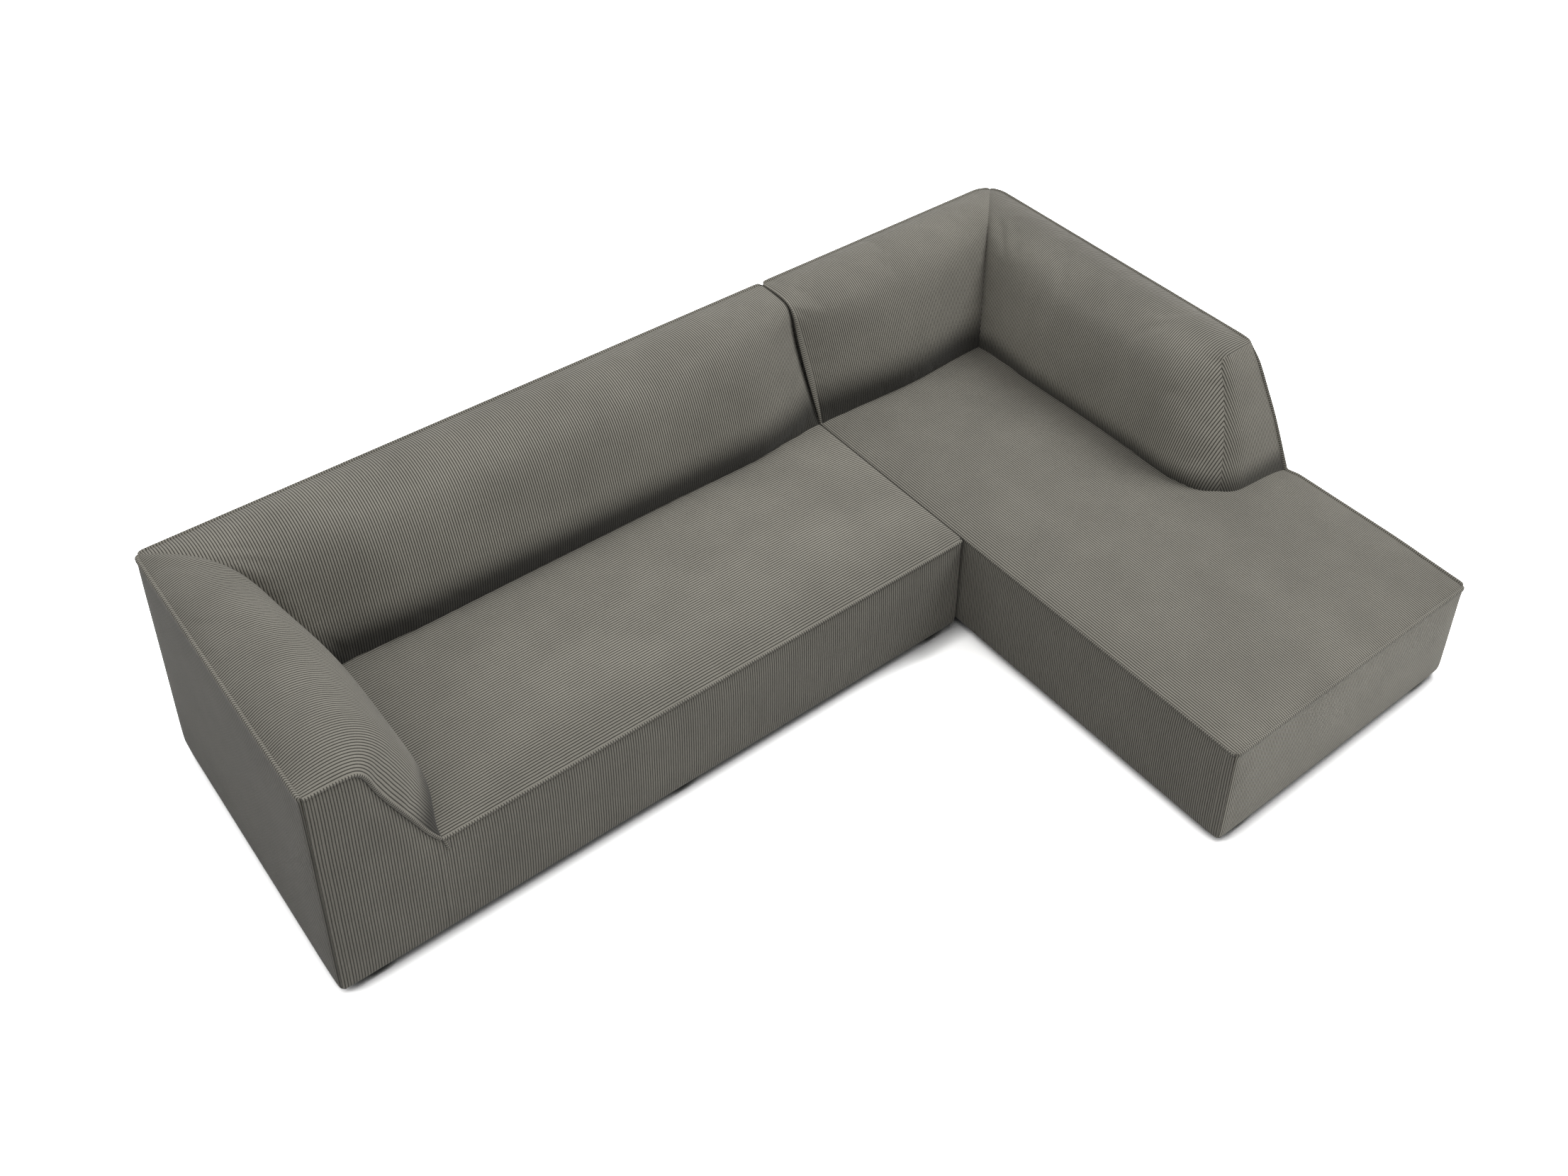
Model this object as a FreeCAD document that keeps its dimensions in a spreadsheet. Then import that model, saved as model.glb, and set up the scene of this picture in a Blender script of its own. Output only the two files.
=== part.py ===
# Low corner sofa of two upholstered units that stand side by side and hook together.
# Left: a long unit with one arm and a back. Right: a deeper chaise unit with a back and a short side back,
# called the return. Both are timber frames with woven webbing, foam blocks and padded cloth covers.
# X runs along the length, the front faces -Y, Z is up, and the floor is Z = 0 under the middle of the plan.

import FreeCAD, Part
import Sketcher
import math
import os
from types import SimpleNamespace

Vector = FreeCAD.Vector
doc = FreeCAD.newDocument("corner_sofa")

# Driving sizes, in millimetres
SIZES = {
    # plan and heights, from seam to seam
    "overall_length": 2730,
    "chaise_depth": 1800,
    "sofa_depth": 885,
    "sofa_length": 1827,
    "floor_gap": 27,
    "seat_seam": 296,
    "back_rise": 329,
    # section of the arm, the backs and the return
    "base_width": 283,
    "top_crown": 38,
    "swell_start": 60,
    "swell_length": 170,
    "corner_width": 155,
    "corner_blend": 220,
    # end of the return
    "return_length": 1043,
    "return_reach": 182,
    "end_corner_radius": 150,
    "end_ridge_radius": 45,
    "end_margin": 2,
    # cloth and foam
    "cover": 8,
    "side_crown": 6,
    "seat_crown": 22,
    "soft_gap": 0.5,
    "unit_gap": 1,
    "dust_cover": 2,
    # timber frame
    "board": 4,
    "rail_thickness": 25,
    "rail_height": 130,
    "stretcher_height": 60,
    "sill_reach": 200,
    "rib_thickness": 18,
    "rib_border": 35,
    "frame_rise": 249,
    "frame_top_reach": 102,
    "frame_end": 43,
    "block_leg": 140,
    "edge_rounding": 6,
    # webbing
    "strap_width": 50,
    "strap_thickness": 2,
    "strap_pitch": 170,
    "strap_rest": 22,
    # feet
    "foot_inset": 90,
    "foot_top_width": 60,
    "foot_bottom_width": 48,
    "glide_width": 40,
    "glide_thickness": 3,
    "tenon_width": 18,
    "tenon_height": 45,
    "tenon_gap": 0.3,
    # hook and catch plates
    "plate_thickness": 3,
    "plate_width": 44,
    "plate_inset": 60,
    "plate_margin": 10,
    "hook_front_inset": 180,
    "hook_rear_inset": 300,
    "plate_gap": 0.5,
    "plate_drop": 1,
    "tongue_rise": 14,
    "tongue_gap": 2,
    # every cutting solid runs this far past what it cuts
    "overrun": 40,
}

sheet = doc.addObject("Spreadsheet::Sheet", "Sizes")
for row, (alias, number) in enumerate(SIZES.items(), start=1):
    sheet.set(f"A{row}", alias)
    sheet.set(f"B{row}", str(number))
    sheet.setAlias(f"B{row}", alias)
doc.recompute()


class Length:
    """A length that carries both its number and its expression over the sheet's cells."""

    def __init__(self, number, text):
        self.number, self.text = float(number), text

    def __float__(self):
        return self.number

    def joined(self, sign, other, number, swapped=False):
        texts = [self.text, other.text if isinstance(other, Length) else str(other)]
        if swapped:
            texts.reverse()
        return Length(number, f"({texts[0]} {sign} {texts[1]})")

    def __add__(self, other):
        return self.joined("+", other, self.number + float(other))

    def __radd__(self, other):
        return self.joined("+", other, float(other) + self.number, swapped=True)

    def __sub__(self, other):
        return self.joined("-", other, self.number - float(other))

    def __rsub__(self, other):
        return self.joined("-", other, float(other) - self.number, swapped=True)

    def __mul__(self, other):
        return self.joined("*", other, self.number * float(other))

    def __rmul__(self, other):
        return self.joined("*", other, float(other) * self.number, swapped=True)

    def __truediv__(self, other):
        return self.joined("/", other, self.number / float(other))

    def __neg__(self):
        return 0 - self


size = SimpleNamespace(**{alias: Length(sheet.get(alias), f"Sizes.{alias}") for alias in SIZES})

# Planes of the seams and of the frame
left = -size.overall_length / 2
right = size.overall_length / 2
rear = size.chaise_depth / 2
chaise_front = -size.chaise_depth / 2
sofa_front = rear - size.sofa_depth
split = left + size.sofa_length
sofa_right = split - size.unit_gap
chaise_left = split + size.unit_gap
seat_top = size.floor_gap + size.seat_seam
top_seam = seat_top + size.back_rise
ridge = rear - size.return_length
rail_bottom = size.floor_gap + size.dust_cover
rail_top = rail_bottom + size.rail_height
frame_top = seat_top + size.frame_rise
skin = size.cover + size.board
web_bottom = rail_top
web_top = web_bottom + 2 * size.strap_thickness + size.soft_gap
frame_front = ridge + size.frame_end
lean = math.atan2(size.sill_reach - size.frame_top_reach, size.frame_rise)


# Helpers: each binds an object's sizes to the sheet
def bind(thing, **lengths):
    for name, length in lengths.items():
        thing.setExpression(name, length.text if isinstance(length, Length) else str(length))
    return thing


def place(thing, x=0, y=0, z=0):
    for axis, length in zip("xyz", (x, y, z)):
        if isinstance(length, Length):
            thing.setExpression(f"Placement.Base.{axis}", length.text)
    return thing


def box(label, x0, x1, y0, y1, z0, z1):
    block = bind(doc.addObject("Part::Box", label), Length=x1 - x0, Width=y1 - y0, Height=z1 - z0)
    return place(block, x0, y0, z0)


def group(label, parts):
    compound = doc.addObject("Part::Compound", label)
    compound.Links = parts
    return compound


def cut(label, base, tools):
    result = doc.addObject("Part::Cut", label)
    result.Base = base
    result.Tool = tools[0] if len(tools) == 1 else group(f"{label}_tools", tools)
    return result


def common(label, base, tool):
    result = doc.addObject("Part::Common", label)
    result.Base = base
    result.Tool = tool
    return result


def feature(label, shape):
    thing = doc.addObject("Part::Feature", label)
    thing.Shape = shape
    return thing


def loft(label, wires):
    """A smooth solid through closed sections."""
    result = doc.addObject("Part::Loft", label)
    result.Sections = [feature(f"{label}_section_{i}", wire) for i, wire in enumerate(wires)]
    result.Solid = True
    return result


def rounded(label, base, radius, wanted):
    """Rounds those edges of the base for whose bounding box the test holds."""
    doc.recompute()
    result = doc.addObject("Part::Fillet", label)
    result.Base = base
    chosen = [i for i, edge in enumerate(base.Shape.Edges, start=1) if wanted(edge.BoundBox)]
    result.Edges = [(i, float(radius), float(radius)) for i in chosen]
    return result


def sketch(body, role, outlines):
    """Closed outlines on one of the body's planes. Corners are fixed by the sheet's sizes. A corner in a list
    of its own is a point that the arc between its neighbours runs through."""
    drawing = body.newObject("Sketcher::SketchObject", f"{body.Name}_outline")
    plane = [item for item in body.Origin.OriginFeatures if item.Role == role][0]
    drawing.AttachmentSupport = [(plane, "")]
    drawing.MapMode = "FlatFace"

    def fix(element, point, spot):
        for kind, length in zip(("DistanceX", "DistanceY"), spot):
            lock = drawing.addConstraint(Sketcher.Constraint(kind, -1, 1, element, point, float(length)))
            if isinstance(length, Length):
                drawing.setExpression(f"Constraints[{lock}]", length.text)

    def point(spot):
        return Vector(float(spot[0]), float(spot[1]), 0)

    for outline in outlines:
        corners = [spot for spot in outline if isinstance(spot, tuple)]
        edges = []
        for i, corner in enumerate(corners):
            following = corners[(i + 1) % len(corners)]
            after = outline[(outline.index(corner) + 1) % len(outline)]
            if isinstance(after, list):
                arc = Part.Arc(point(corner), point(after[0]), point(following))
                edge = drawing.addGeometry(arc)
                mark = drawing.addGeometry(Part.Point(point(after[0])), True)
                fix(mark, 1, after[0])
                drawing.addConstraint(Sketcher.Constraint("PointOnObject", mark, 1, edge))
            else:
                edge = drawing.addGeometry(Part.LineSegment(point(corner), point(following)))
            forward = drawing.Geometry[edge].StartPoint.isEqual(point(corner), 1e-6)
            edges.append((edge, 1, 2) if forward else (edge, 2, 1))
            fix(edge, edges[-1][1], corner)
        for (edge, start, end), (other, begin, finish) in zip(edges, edges[1:] + edges[:1]):
            drawing.addConstraint(Sketcher.Constraint("Coincident", edge, end, other, begin))
    return drawing


def plate(label, role, outlines, thickness, softened=None):
    """Outlines padded to a thickness. A softened plate has the edges of one outer face rounded."""
    body = doc.addObject("PartDesign::Body", label)
    pad = body.newObject("PartDesign::Pad", f"{label}_pad")
    pad.Profile = sketch(body, role, outlines)
    bind(pad, Length=thickness)
    body.Tip = pad
    if softened is not None:
        doc.recompute()
        outer = max(pad.Shape.Faces, key=lambda face: face.CenterOfMass.dot(Vector(*softened)))
        names = []
        for i, edge in enumerate(pad.Shape.Edges, start=1):
            if any(edge.isSame(own) for own in outer.Edges):
                names.append(f"Edge{i}")
        fillet = body.newObject("PartDesign::Fillet", f"{label}_softening")
        fillet.Base = (pad, names)
        bind(fillet, Radius=size.side_crown)
        body.Tip = fillet
    return body


def copies(label, master, spots):
    """Links to a master piece, each at its own spot."""
    links = []
    for i, (x, y, z) in enumerate(spots):
        link = doc.addObject("App::Link", f"{label}_{i}")
        link.LinkedObject = master
        link.LinkTransform = False
        links.append(place(link, x, y, z))
    return group(label, links)


# Section of the arm, the backs and the return, in distance from the outer seam and height above the seat
# seam, given as shares of the base width, the back rise and the crown. It is taut at an open end and full
# mid length.
END_SHARES = (
    (0.19, 1.0, 0.02),
    (0.36, 1.0, 0.0),
    (0.463, 0.967, 0.0),
    (0.53, 0.848, 0.0),
    (0.775, 0.43, 0.0),
    (1.0, 0.0, 0.0),
)
MID_SHARES = (
    (0.307, 1.0, 1.0),
    (0.53, 1.0, 0.6),
    (0.79, 0.87, 0.0),
    (1.03, 0.46, 0.0),
    (1.062, 0.21, 0.0),
    (1.0, 0.0, 0.0),
)
START_SWELL_SHARE = 0.55
CORNER_SWELL_SHARE = 0.65
CHORDS = 4


def section(fullness, depth=0.0):
    """Points of the section from the outer seam to the seat, moved inwards by a depth along its normals."""
    start = (float(size.cover), float(size.back_rise))
    points = [start]
    for taut, full in zip(END_SHARES, MID_SHARES):
        share = [a + (b - a) * fullness for a, b in zip(taut, full)]
        height = share[1] * float(size.back_rise) + share[2] * float(size.top_crown)
        points.append((share[0] * float(size.base_width), height))
    moved = [(start[0], start[1] - depth)]
    for before, here, after in zip(points, points[1:], points[2:]):
        along = (after[0] - before[0], after[1] - before[1])
        step = depth / math.hypot(*along)
        moved.append((here[0] + along[1] * step, here[1] - along[0] * step))
    moved.append((points[-1][0] - depth, points[-1][1]))
    return moved


def wire(points, inner, at, chords=0):
    """A closed wire of the section's arcs, whole or in chords, and straight runs over the inner corners."""
    edges = []
    for i in (0, 2, 4):
        arc = Part.Arc(*(at(*point) for point in points[i : i + 3])).toShape()
        if chords:
            spots = arc.discretize(chords + 1)
            edges += [Part.LineSegment(a, b).toShape() for a, b in zip(spots, spots[1:])]
        else:
            edges.append(arc)
    turns = [at(*corner) for corner in (points[-1], *inner, points[0])]
    edges += [Part.LineSegment(a, b).toShape() for a, b in zip(turns, turns[1:])]
    return Part.Wire(edges)


def bolster_solids(label, run, at):
    """The form of a bolster, full mid length, and the plain hollow inside its padded cloth."""
    outer = []
    for spot, fullness in run:
        points = section(fullness)
        here = lambda reach, height, spot=spot: at(float(spot), reach, height)
        outer.append(wire(points, [(points[0][0], points[-1][1])], here, CHORDS))
    form = loft(f"{label}_form", outer)
    form.Ruled = True
    first, last, beyond = float(run[0][0]), float(run[-1][0]), float(size.overrun)
    ahead = 1 if last > first else -1
    inside = []
    for spot in (first - ahead * beyond, last + ahead * beyond):
        points = section(0.0, float(size.cover))
        turns = [(points[-1][0], -beyond), (-beyond, -beyond), (-beyond, points[0][1])]
        here = lambda reach, height, spot=spot: at(spot, reach, height)
        inside.append(wire(points, turns, here))
    return form, loft(f"{label}_hollow", inside)


def between(label, first, last, at, points, turns):
    """A straight block of one section."""
    ends = []
    for spot in (first, last):
        ends.append(wire(points, turns, lambda reach, height, spot=spot: at(float(spot), reach, height)))
    return loft(label, ends)


def foam_block(label, first, last, at):
    """Foam of the end section, hollow where it straddles the frame."""
    gap = float(size.soft_gap)
    aside = float(size.strap_thickness) + gap
    points = section(0.0, float(size.cover) + gap)
    points[-1] = (points[-1][0], gap)
    rise = float(size.frame_rise) + gap
    turns = [
        (float(size.sill_reach) + aside, gap),
        (float(size.frame_top_reach) + aside, rise),
        (points[0][0], rise),
    ]
    return between(label, first, last, at, points, turns)


def full_block(label, first, last, at):
    """Foam of the end section without a hollow."""
    gap = float(size.soft_gap)
    points = section(0.0, float(size.cover) + gap)
    points[-1] = (points[-1][0], gap)
    turns = [(points[0][0], gap)]
    return between(label, first, last, at, points, turns)


def bolster(name, run, at, mitre):
    """Padded cover and foam of an arm or a back, both cut on the mitre of their corner."""
    form, hollow = bolster_solids(name, run, at)
    shell = cut(f"{name}_shell", form, [hollow])
    cut(f"{name}_cover", shell, [mitre(f"{name}_cover_mitre")])
    cut(f"{name}_foam", foam_block(f"{name}_block", run[0][0], run[-1][0], at), [mitre(f"{name}_foam_mitre")])


def run(open_end, corner):
    """Places and fullness along a bolster, from its open end to its mitred corner."""
    ahead = 1 if float(open_end) < float(corner) else -1
    return [
        (open_end, 0.0),
        (open_end + ahead * size.swell_start, START_SWELL_SHARE),
        (open_end + ahead * size.swell_length, 1.0),
        (corner - ahead * (size.corner_width + size.corner_blend), 1.0),
        (corner - ahead * size.corner_width, CORNER_SWELL_SHARE),
        (corner, CORNER_SWELL_SHARE),
    ]


def corner_cut(x, angle):
    """The half of a corner beyond its mitre, to cut away. The angle turns the block about the corner."""

    def make(label):
        span = 2 * size.base_width
        heights = (seat_top - size.overrun, top_seam + 2 * size.overrun)
        block = box(label, x, x + span, rear, rear + span, *heights)
        block.Placement.Rotation = FreeCAD.Rotation(Vector(0, 0, 1), angle)
        return block

    return make


def profile(across):
    """The end section as an outline, from the outer top corner to the seat."""
    spots = [(across(0 * size.base_width), top_seam)]
    for i, (reach, height, lift) in enumerate(END_SHARES[1:]):
        spot = (across(reach * size.base_width), seat_top + height * size.back_rise)
        spots.append([spot] if i % 2 else spot)
    return spots


# Seams: the section seen from each side
def from_left(reach):
    return left + reach


def from_rear(reach):
    return rear - reach


def from_right(reach):
    return right - reach


def arm_at(spot, reach, height):
    return Vector(float(left) + reach, spot, float(seat_top) + height)


def back_at(spot, reach, height):
    return Vector(spot, float(rear) - reach, float(seat_top) + height)


def return_at(spot, reach, height):
    return Vector(float(right) - reach, spot, float(seat_top) + height)


# Rails of the base frames
inner = size.cover + size.rail_thickness
sill_out = size.sill_reach - size.rail_thickness
low = (rail_bottom, rail_top)


def rails(name, x0, x1, y0):
    """Front and rear rails run through, the side rails stand between them."""
    box(f"{name}_front_rail", x0 + size.cover, x1 - size.cover, y0 + size.cover, y0 + inner, *low)
    box(f"{name}_rear_rail", x0 + size.cover, x1 - size.cover, rear - inner, rear - size.cover, *low)
    near = box(f"{name}_near_rail", x0 + size.cover, x0 + inner, y0 + inner, rear - inner, *low)
    far = box(f"{name}_far_rail", x1 - inner, x1 - size.cover, y0 + inner, rear - inner, *low)
    group(f"{name}_side_rails", [near, far])


rails("sofa", left, sofa_right, sofa_front)
rails("chaise", chaise_left, right, chaise_front)

# Sills that carry the uprights and the webbing
sill_rear = (rear - size.sill_reach, rear - sill_out)
side_stop = rear - size.sill_reach
group(
    "sofa_sills",
    [
        box("sofa_back_sill", left + inner, sofa_right - inner, *sill_rear, *low),
        box("sofa_arm_sill", left + sill_out, left + size.sill_reach, sofa_front + inner, side_stop, *low),
    ],
)
cross_front = frame_front - size.rail_thickness
group(
    "chaise_sills",
    [
        box("chaise_back_sill", chaise_left + inner, right - inner, *sill_rear, *low),
        box("chaise_cross_sill", chaise_left + inner, right - inner, cross_front, frame_front, *low),
        box("return_sill", right - size.sill_reach, right - sill_out, frame_front, side_stop, *low),
    ],
)

# Stretchers, with the middle feet below two of their ends
SOFA_STRETCHER_SHARES = (0.25, 0.5, 0.75)
CHAISE_STRETCHER_SHARES = (0.34, 0.67)
low_bar = (rail_bottom, rail_bottom + size.stretcher_height)
half_bar = size.rail_thickness / 2
sofa_bars = []
for i, share in enumerate(SOFA_STRETCHER_SHARES):
    x = left + share * size.sofa_length
    span = (x - half_bar, x + half_bar)
    long_bar = (sofa_front + inner, rear - size.sill_reach)
    short_bar = (rear - sill_out, rear - inner)
    sofa_bars.append(box(f"sofa_bar_{i}", *span, *long_bar, *low_bar))
    sofa_bars.append(box(f"sofa_short_bar_{i}", *span, *short_bar, *low_bar))
chaise_bars = []
front_span = cross_front - chaise_front
for i, share in enumerate(CHAISE_STRETCHER_SHARES):
    y = chaise_front + share * front_span
    bar_y = (y - half_bar, y + half_bar)
    chaise_bars.append(box(f"chaise_bar_{i}", chaise_left + inner, right - inner, *bar_y, *low_bar))
middle_y = frame_front + (rear - size.sill_reach - frame_front) / 2
bar_y = (middle_y - half_bar, middle_y + half_bar)
chaise_bars.append(box("chaise_rear_bar", chaise_left + inner, right - size.sill_reach, *bar_y, *low_bar))

# Feet: corner feet below the corner blocks, middle feet below stretchers
sofa_middle = left + SOFA_STRETCHER_SHARES[1] * size.sofa_length
chaise_middle = chaise_front + CHAISE_STRETCHER_SHARES[1] * front_span


def corners(x0, x1, y0):
    inset = size.foot_inset
    return [(x, y) for x in (x0 + inset, x1 - inset) for y in (y0 + inset, rear - inset)]


sofa_spots = corners(left, sofa_right, sofa_front)
sofa_spots += [(sofa_middle, sofa_front + size.foot_inset), (sofa_middle, rear - size.foot_inset)]
chaise_spots = corners(chaise_left, right, chaise_front)
chaise_spots += [(x, chaise_middle) for x in (chaise_left + size.foot_inset, right - size.foot_inset)]
foot_height = size.floor_gap - size.glide_thickness


taper = doc.addObject("Part::Wedge", "foot_taper")
half_top, half_bottom = size.foot_top_width / 2, size.foot_bottom_width / 2
bind(taper, Xmin=-half_bottom, Xmax=half_bottom, Zmin=-half_bottom, Zmax=half_bottom, Ymin=0 * half_top)
bind(taper, X2min=-half_top, X2max=half_top, Z2min=-half_top, Z2max=half_top, Ymax=foot_height)
taper.Placement.Rotation = FreeCAD.Rotation(Vector(1, 0, 0), 90)
place(taper, 0, 0, size.glide_thickness)
half_tenon = size.tenon_width / 2
tenon_z = (size.floor_gap, size.floor_gap + size.tenon_height)
tenon = box("foot_tenon", -half_tenon, half_tenon, -half_tenon, half_tenon, *tenon_z)
foot = doc.addObject("Part::Fuse", "foot")
foot.Base = taper
foot.Tool = tenon
glide = doc.addObject("Part::Box", "glide")
bind(glide, Length=size.glide_width, Width=size.glide_width, Height=size.glide_thickness)


def mortised(label, piece, spots):
    """Cuts a mortise for each foot's tenon, from below the dust cover up."""
    half = size.tenon_width / 2 + size.tenon_gap
    top = size.floor_gap + size.tenon_height + size.tenon_gap
    tools = []
    for i, (x, y) in enumerate(spots):
        tools.append(box(f"{label}_mortise_{i}", x - half, x + half, y - half, y + half, 0 * half, top))
    return cut(label, piece, tools)


def corner_blocks(name, x0, x1, y0, bars, spots):
    """Glued triangular blocks in the rail corners and the stretchers, mortised for the feet."""
    blocks = []
    for i, (x, y) in enumerate(spots[:4]):
        toward_x = 1 if float(x) < float(x0 + x1) / 2 else -1
        toward_y = 1 if float(y) < float(y0 + rear) / 2 else -1
        tip_x = (x0 if toward_x > 0 else x1) + toward_x * inner
        tip_y = (y0 if toward_y > 0 else rear) + toward_y * inner
        leg_x, leg_y = toward_x * size.block_leg, toward_y * size.block_leg
        triangle = [(tip_x, tip_y), (tip_x + leg_x, tip_y), (tip_x, tip_y + leg_y)]
        wedge = plate(f"{name}_wedge_{i}", "XY_Plane", [triangle], size.stretcher_height)
        blocks.append(place(wedge, 0, 0, rail_bottom))
    mortised(f"{name}_corner_blocks", group(f"{name}_wedges", blocks), spots[:4])
    mortised(f"{name}_stretchers", group(f"{name}_bars", bars), spots[4:])


corner_blocks("sofa", left, sofa_right, sofa_front, sofa_bars, sofa_spots)
corner_blocks("chaise", chaise_left, right, chaise_front, chaise_bars, chaise_spots)
for name, spots in (("sofa", sofa_spots), ("chaise", chaise_spots)):
    copies(f"{name}_feet", foot, [(x, y, 0) for x, y in spots])
    half = size.glide_width / 2
    copies(f"{name}_glides", glide, [(x - half, y - half, 0) for x, y in spots])

# Uprights: plywood ribs with a window, standing on the rail and the sill, leaning on their inner side
board_foot = frame_top - size.rail_thickness
lean_share = size.rail_thickness / size.frame_rise
step_in = size.sill_reach - size.strap_rest - size.soft_gap
upper_reach = size.frame_top_reach + (size.sill_reach - size.frame_top_reach) * lean_share


def rib(label, role, across):
    border = size.rib_border
    outline = [
        (across(skin), rail_top),
        (across(step_in), rail_top),
        (across(step_in), web_top),
        (across(size.sill_reach), web_top),
        (across(size.sill_reach), seat_top),
        (across(upper_reach), board_foot),
        (across(skin), board_foot),
    ]
    window = [
        (across(skin + border), rail_top + border),
        (across(step_in - border), rail_top + border),
        (across(step_in - border), seat_top),
        (across(upper_reach - border), board_foot - border),
        (across(skin + border), board_foot - border),
    ]
    return plate(label, role, [outline, window], size.rib_thickness)


arm_rib = rib("arm_rib", "XZ_Plane", from_left)
back_rib = rib("back_rib", "YZ_Plane", from_rear)
return_rib = rib("return_rib", "XZ_Plane", from_right)
RIB_SHARES = (0.0, 1 / 3, 2 / 3, 1.0)
SHORT_RIB_SHARES = (0.0, 0.5, 1.0)


def spread(first, last, shares):
    return [first + share * (last - first) for share in shares]


clear = size.cover + size.soft_gap
arm_ribs = spread(sofa_front + clear + size.rib_thickness, rear - size.sill_reach, SHORT_RIB_SHARES)
copies("sofa_arm_ribs", arm_rib, [(0, y, 0) for y in arm_ribs])
back_ribs = spread(left + skin, sofa_right - clear - size.rib_thickness, RIB_SHARES)
copies("sofa_back_ribs", back_rib, [(x, 0, 0) for x in back_ribs])
side_ribs = spread(chaise_left + clear, right - skin - size.rib_thickness, SHORT_RIB_SHARES)
copies("chaise_back_ribs", back_rib, [(x, 0, 0) for x in side_ribs])
return_ribs = spread(frame_front + size.rib_thickness, rear - size.sill_reach, SHORT_RIB_SHARES)
copies("chaise_return_ribs", return_rib, [(0, y, 0) for y in return_ribs])


TOLERANCE = 1e-3


# Top boards with their upper edges rounded under the foam, and thin outer boards
def top_board(label, x0, x1, y0, y1):
    board = box(f"{label}_blank", x0, x1, y0, y1, board_foot, frame_top)
    along_x = float(x1 - x0) > float(y1 - y0)
    length = float(x1 - x0) if along_x else float(y1 - y0)

    def is_long_top(bounds):
        run_length = bounds.XLength if along_x else bounds.YLength
        return bounds.ZMin > float(frame_top) - TOLERANCE and run_length > length - TOLERANCE

    return rounded(label, board, size.edge_rounding, is_long_top)


top_inner = rear - size.frame_top_reach
group(
    "sofa_top_boards",
    [
        top_board("sofa_back_board", left + skin, sofa_right - clear, top_inner, rear - skin),
        top_board("sofa_arm_board", left + skin, left + size.frame_top_reach, sofa_front + clear, top_inner),
    ],
)
group(
    "chaise_top_boards",
    [
        top_board("chaise_back_board", chaise_left + clear, right - skin, top_inner, rear - skin),
        top_board("return_board", right - size.frame_top_reach, right - skin, frame_front, top_inner),
    ],
)
upper = (rail_top, frame_top)
sheet_rear = (rear - skin, rear - size.cover)
group(
    "sofa_outer_boards",
    [
        box("sofa_back_sheet", left + size.cover, sofa_right - size.cover, *sheet_rear, *upper),
        box("sofa_arm_sheet", left + size.cover, left + skin, sofa_front + size.cover, rear - skin, *upper),
    ],
)
group(
    "chaise_outer_boards",
    [
        box("chaise_back_sheet", chaise_left + size.cover, right - size.cover, *sheet_rear, *upper),
        box("return_sheet", right - skin, right - size.cover, frame_front, rear - skin, *upper),
    ],
)

# Straps over the leaning faces of the uprights
STRAP_HEIGHT_SHARES = (0.08, 0.39, 0.7)


def leaning_straps(label, kind, start, end):
    straps = []
    slip = size.strap_thickness * math.cos(lean)
    drop = size.strap_thickness * math.sin(lean)
    for i, share in enumerate(STRAP_HEIGHT_SHARES):
        reach = size.sill_reach - share * (size.sill_reach - size.frame_top_reach)
        z = seat_top + share * size.frame_rise
        strap = doc.addObject("Part::Box", f"{label}_{i}")
        across = size.strap_thickness
        if kind == "back":
            bind(strap, Length=end - start, Width=across, Height=size.strap_width)
            place(strap, start, rear - reach - slip, z + drop)
            strap.Placement.Rotation = FreeCAD.Rotation(Vector(1, 0, 0), -math.degrees(lean))
        else:
            bind(strap, Length=across, Width=end - start, Height=size.strap_width)
            turn = -math.degrees(lean) if kind == "arm" else math.degrees(lean)
            if kind == "arm":
                place(strap, left + reach, start, z)
            else:
                place(strap, right - reach - slip, start, z + drop)
            strap.Placement.Rotation = FreeCAD.Rotation(Vector(0, 1, 0), turn)
        straps.append(strap)
    return straps


strap_stop = rear - size.sill_reach - size.strap_width
arm_straps = leaning_straps("arm_strap", "arm", sofa_front + clear, strap_stop)
group("sofa_frame_straps", arm_straps + leaning_straps("sofa_strap", "back", left + skin, sofa_right - clear))
return_straps = leaning_straps("return_strap", "return", frame_front, strap_stop)
chaise_straps = leaning_straps("chaise_strap", "back", chaise_left + clear, right - skin)
group("chaise_frame_straps", return_straps + chaise_straps)


# Woven seat webbing: each strap runs over one crossing strap and under the next
def strap_run(ends, crossings, level):
    """Side view of a strap: (distance, height) along its lower face."""
    low_level, lift = float(web_bottom), float(size.strap_thickness + size.soft_gap)
    half = float(size.strap_width) / 2 + float(size.strap_thickness)
    spots = [(ends[0], low_level)]
    for i, crossing in crossings:
        height = low_level + lift * ((i + level) % 2)
        spots += [(crossing - half, height), (crossing + half, height)]
    return spots + [(ends[1], low_level)]


def in_reach(ends, spot):
    return ends[0] < spot < ends[1]


def webbing(label, columns, lines, column_ends, line_ends):
    """Straps along Y in columns at X places and along X in lines at Y places."""
    half, thick = float(size.strap_width) / 2, float(size.strap_thickness)
    straps = []
    for i, x in enumerate(columns):
        ends = column_ends(x)
        crossings = [(j, y) for j, y in enumerate(lines) if in_reach(ends, y)]
        side = strap_run(ends, crossings, i)
        loop = side + [(y, z + thick) for y, z in reversed(side)]
        face = Part.Face(Part.makePolygon([Vector(x - half, y, z) for y, z in loop + loop[:1]]))
        straps.append(face.extrude(Vector(2 * half, 0, 0)))
    for j, y in enumerate(lines):
        ends = line_ends(y)
        in_row = [(i, x) for i, x in enumerate(columns) if in_reach(ends, x)]
        crossings = [(i, x) for i, x in in_row if in_reach(column_ends(x), y)]
        side = strap_run(ends, crossings, j + 1)
        loop = side + [(x, z + thick) for x, z in reversed(side)]
        face = Part.Face(Part.makePolygon([Vector(x, y - half, z) for x, z in loop + loop[:1]]))
        straps.append(face.extrude(Vector(0, 2 * half, 0)))
    return feature(label, Part.Compound(straps))


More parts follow.
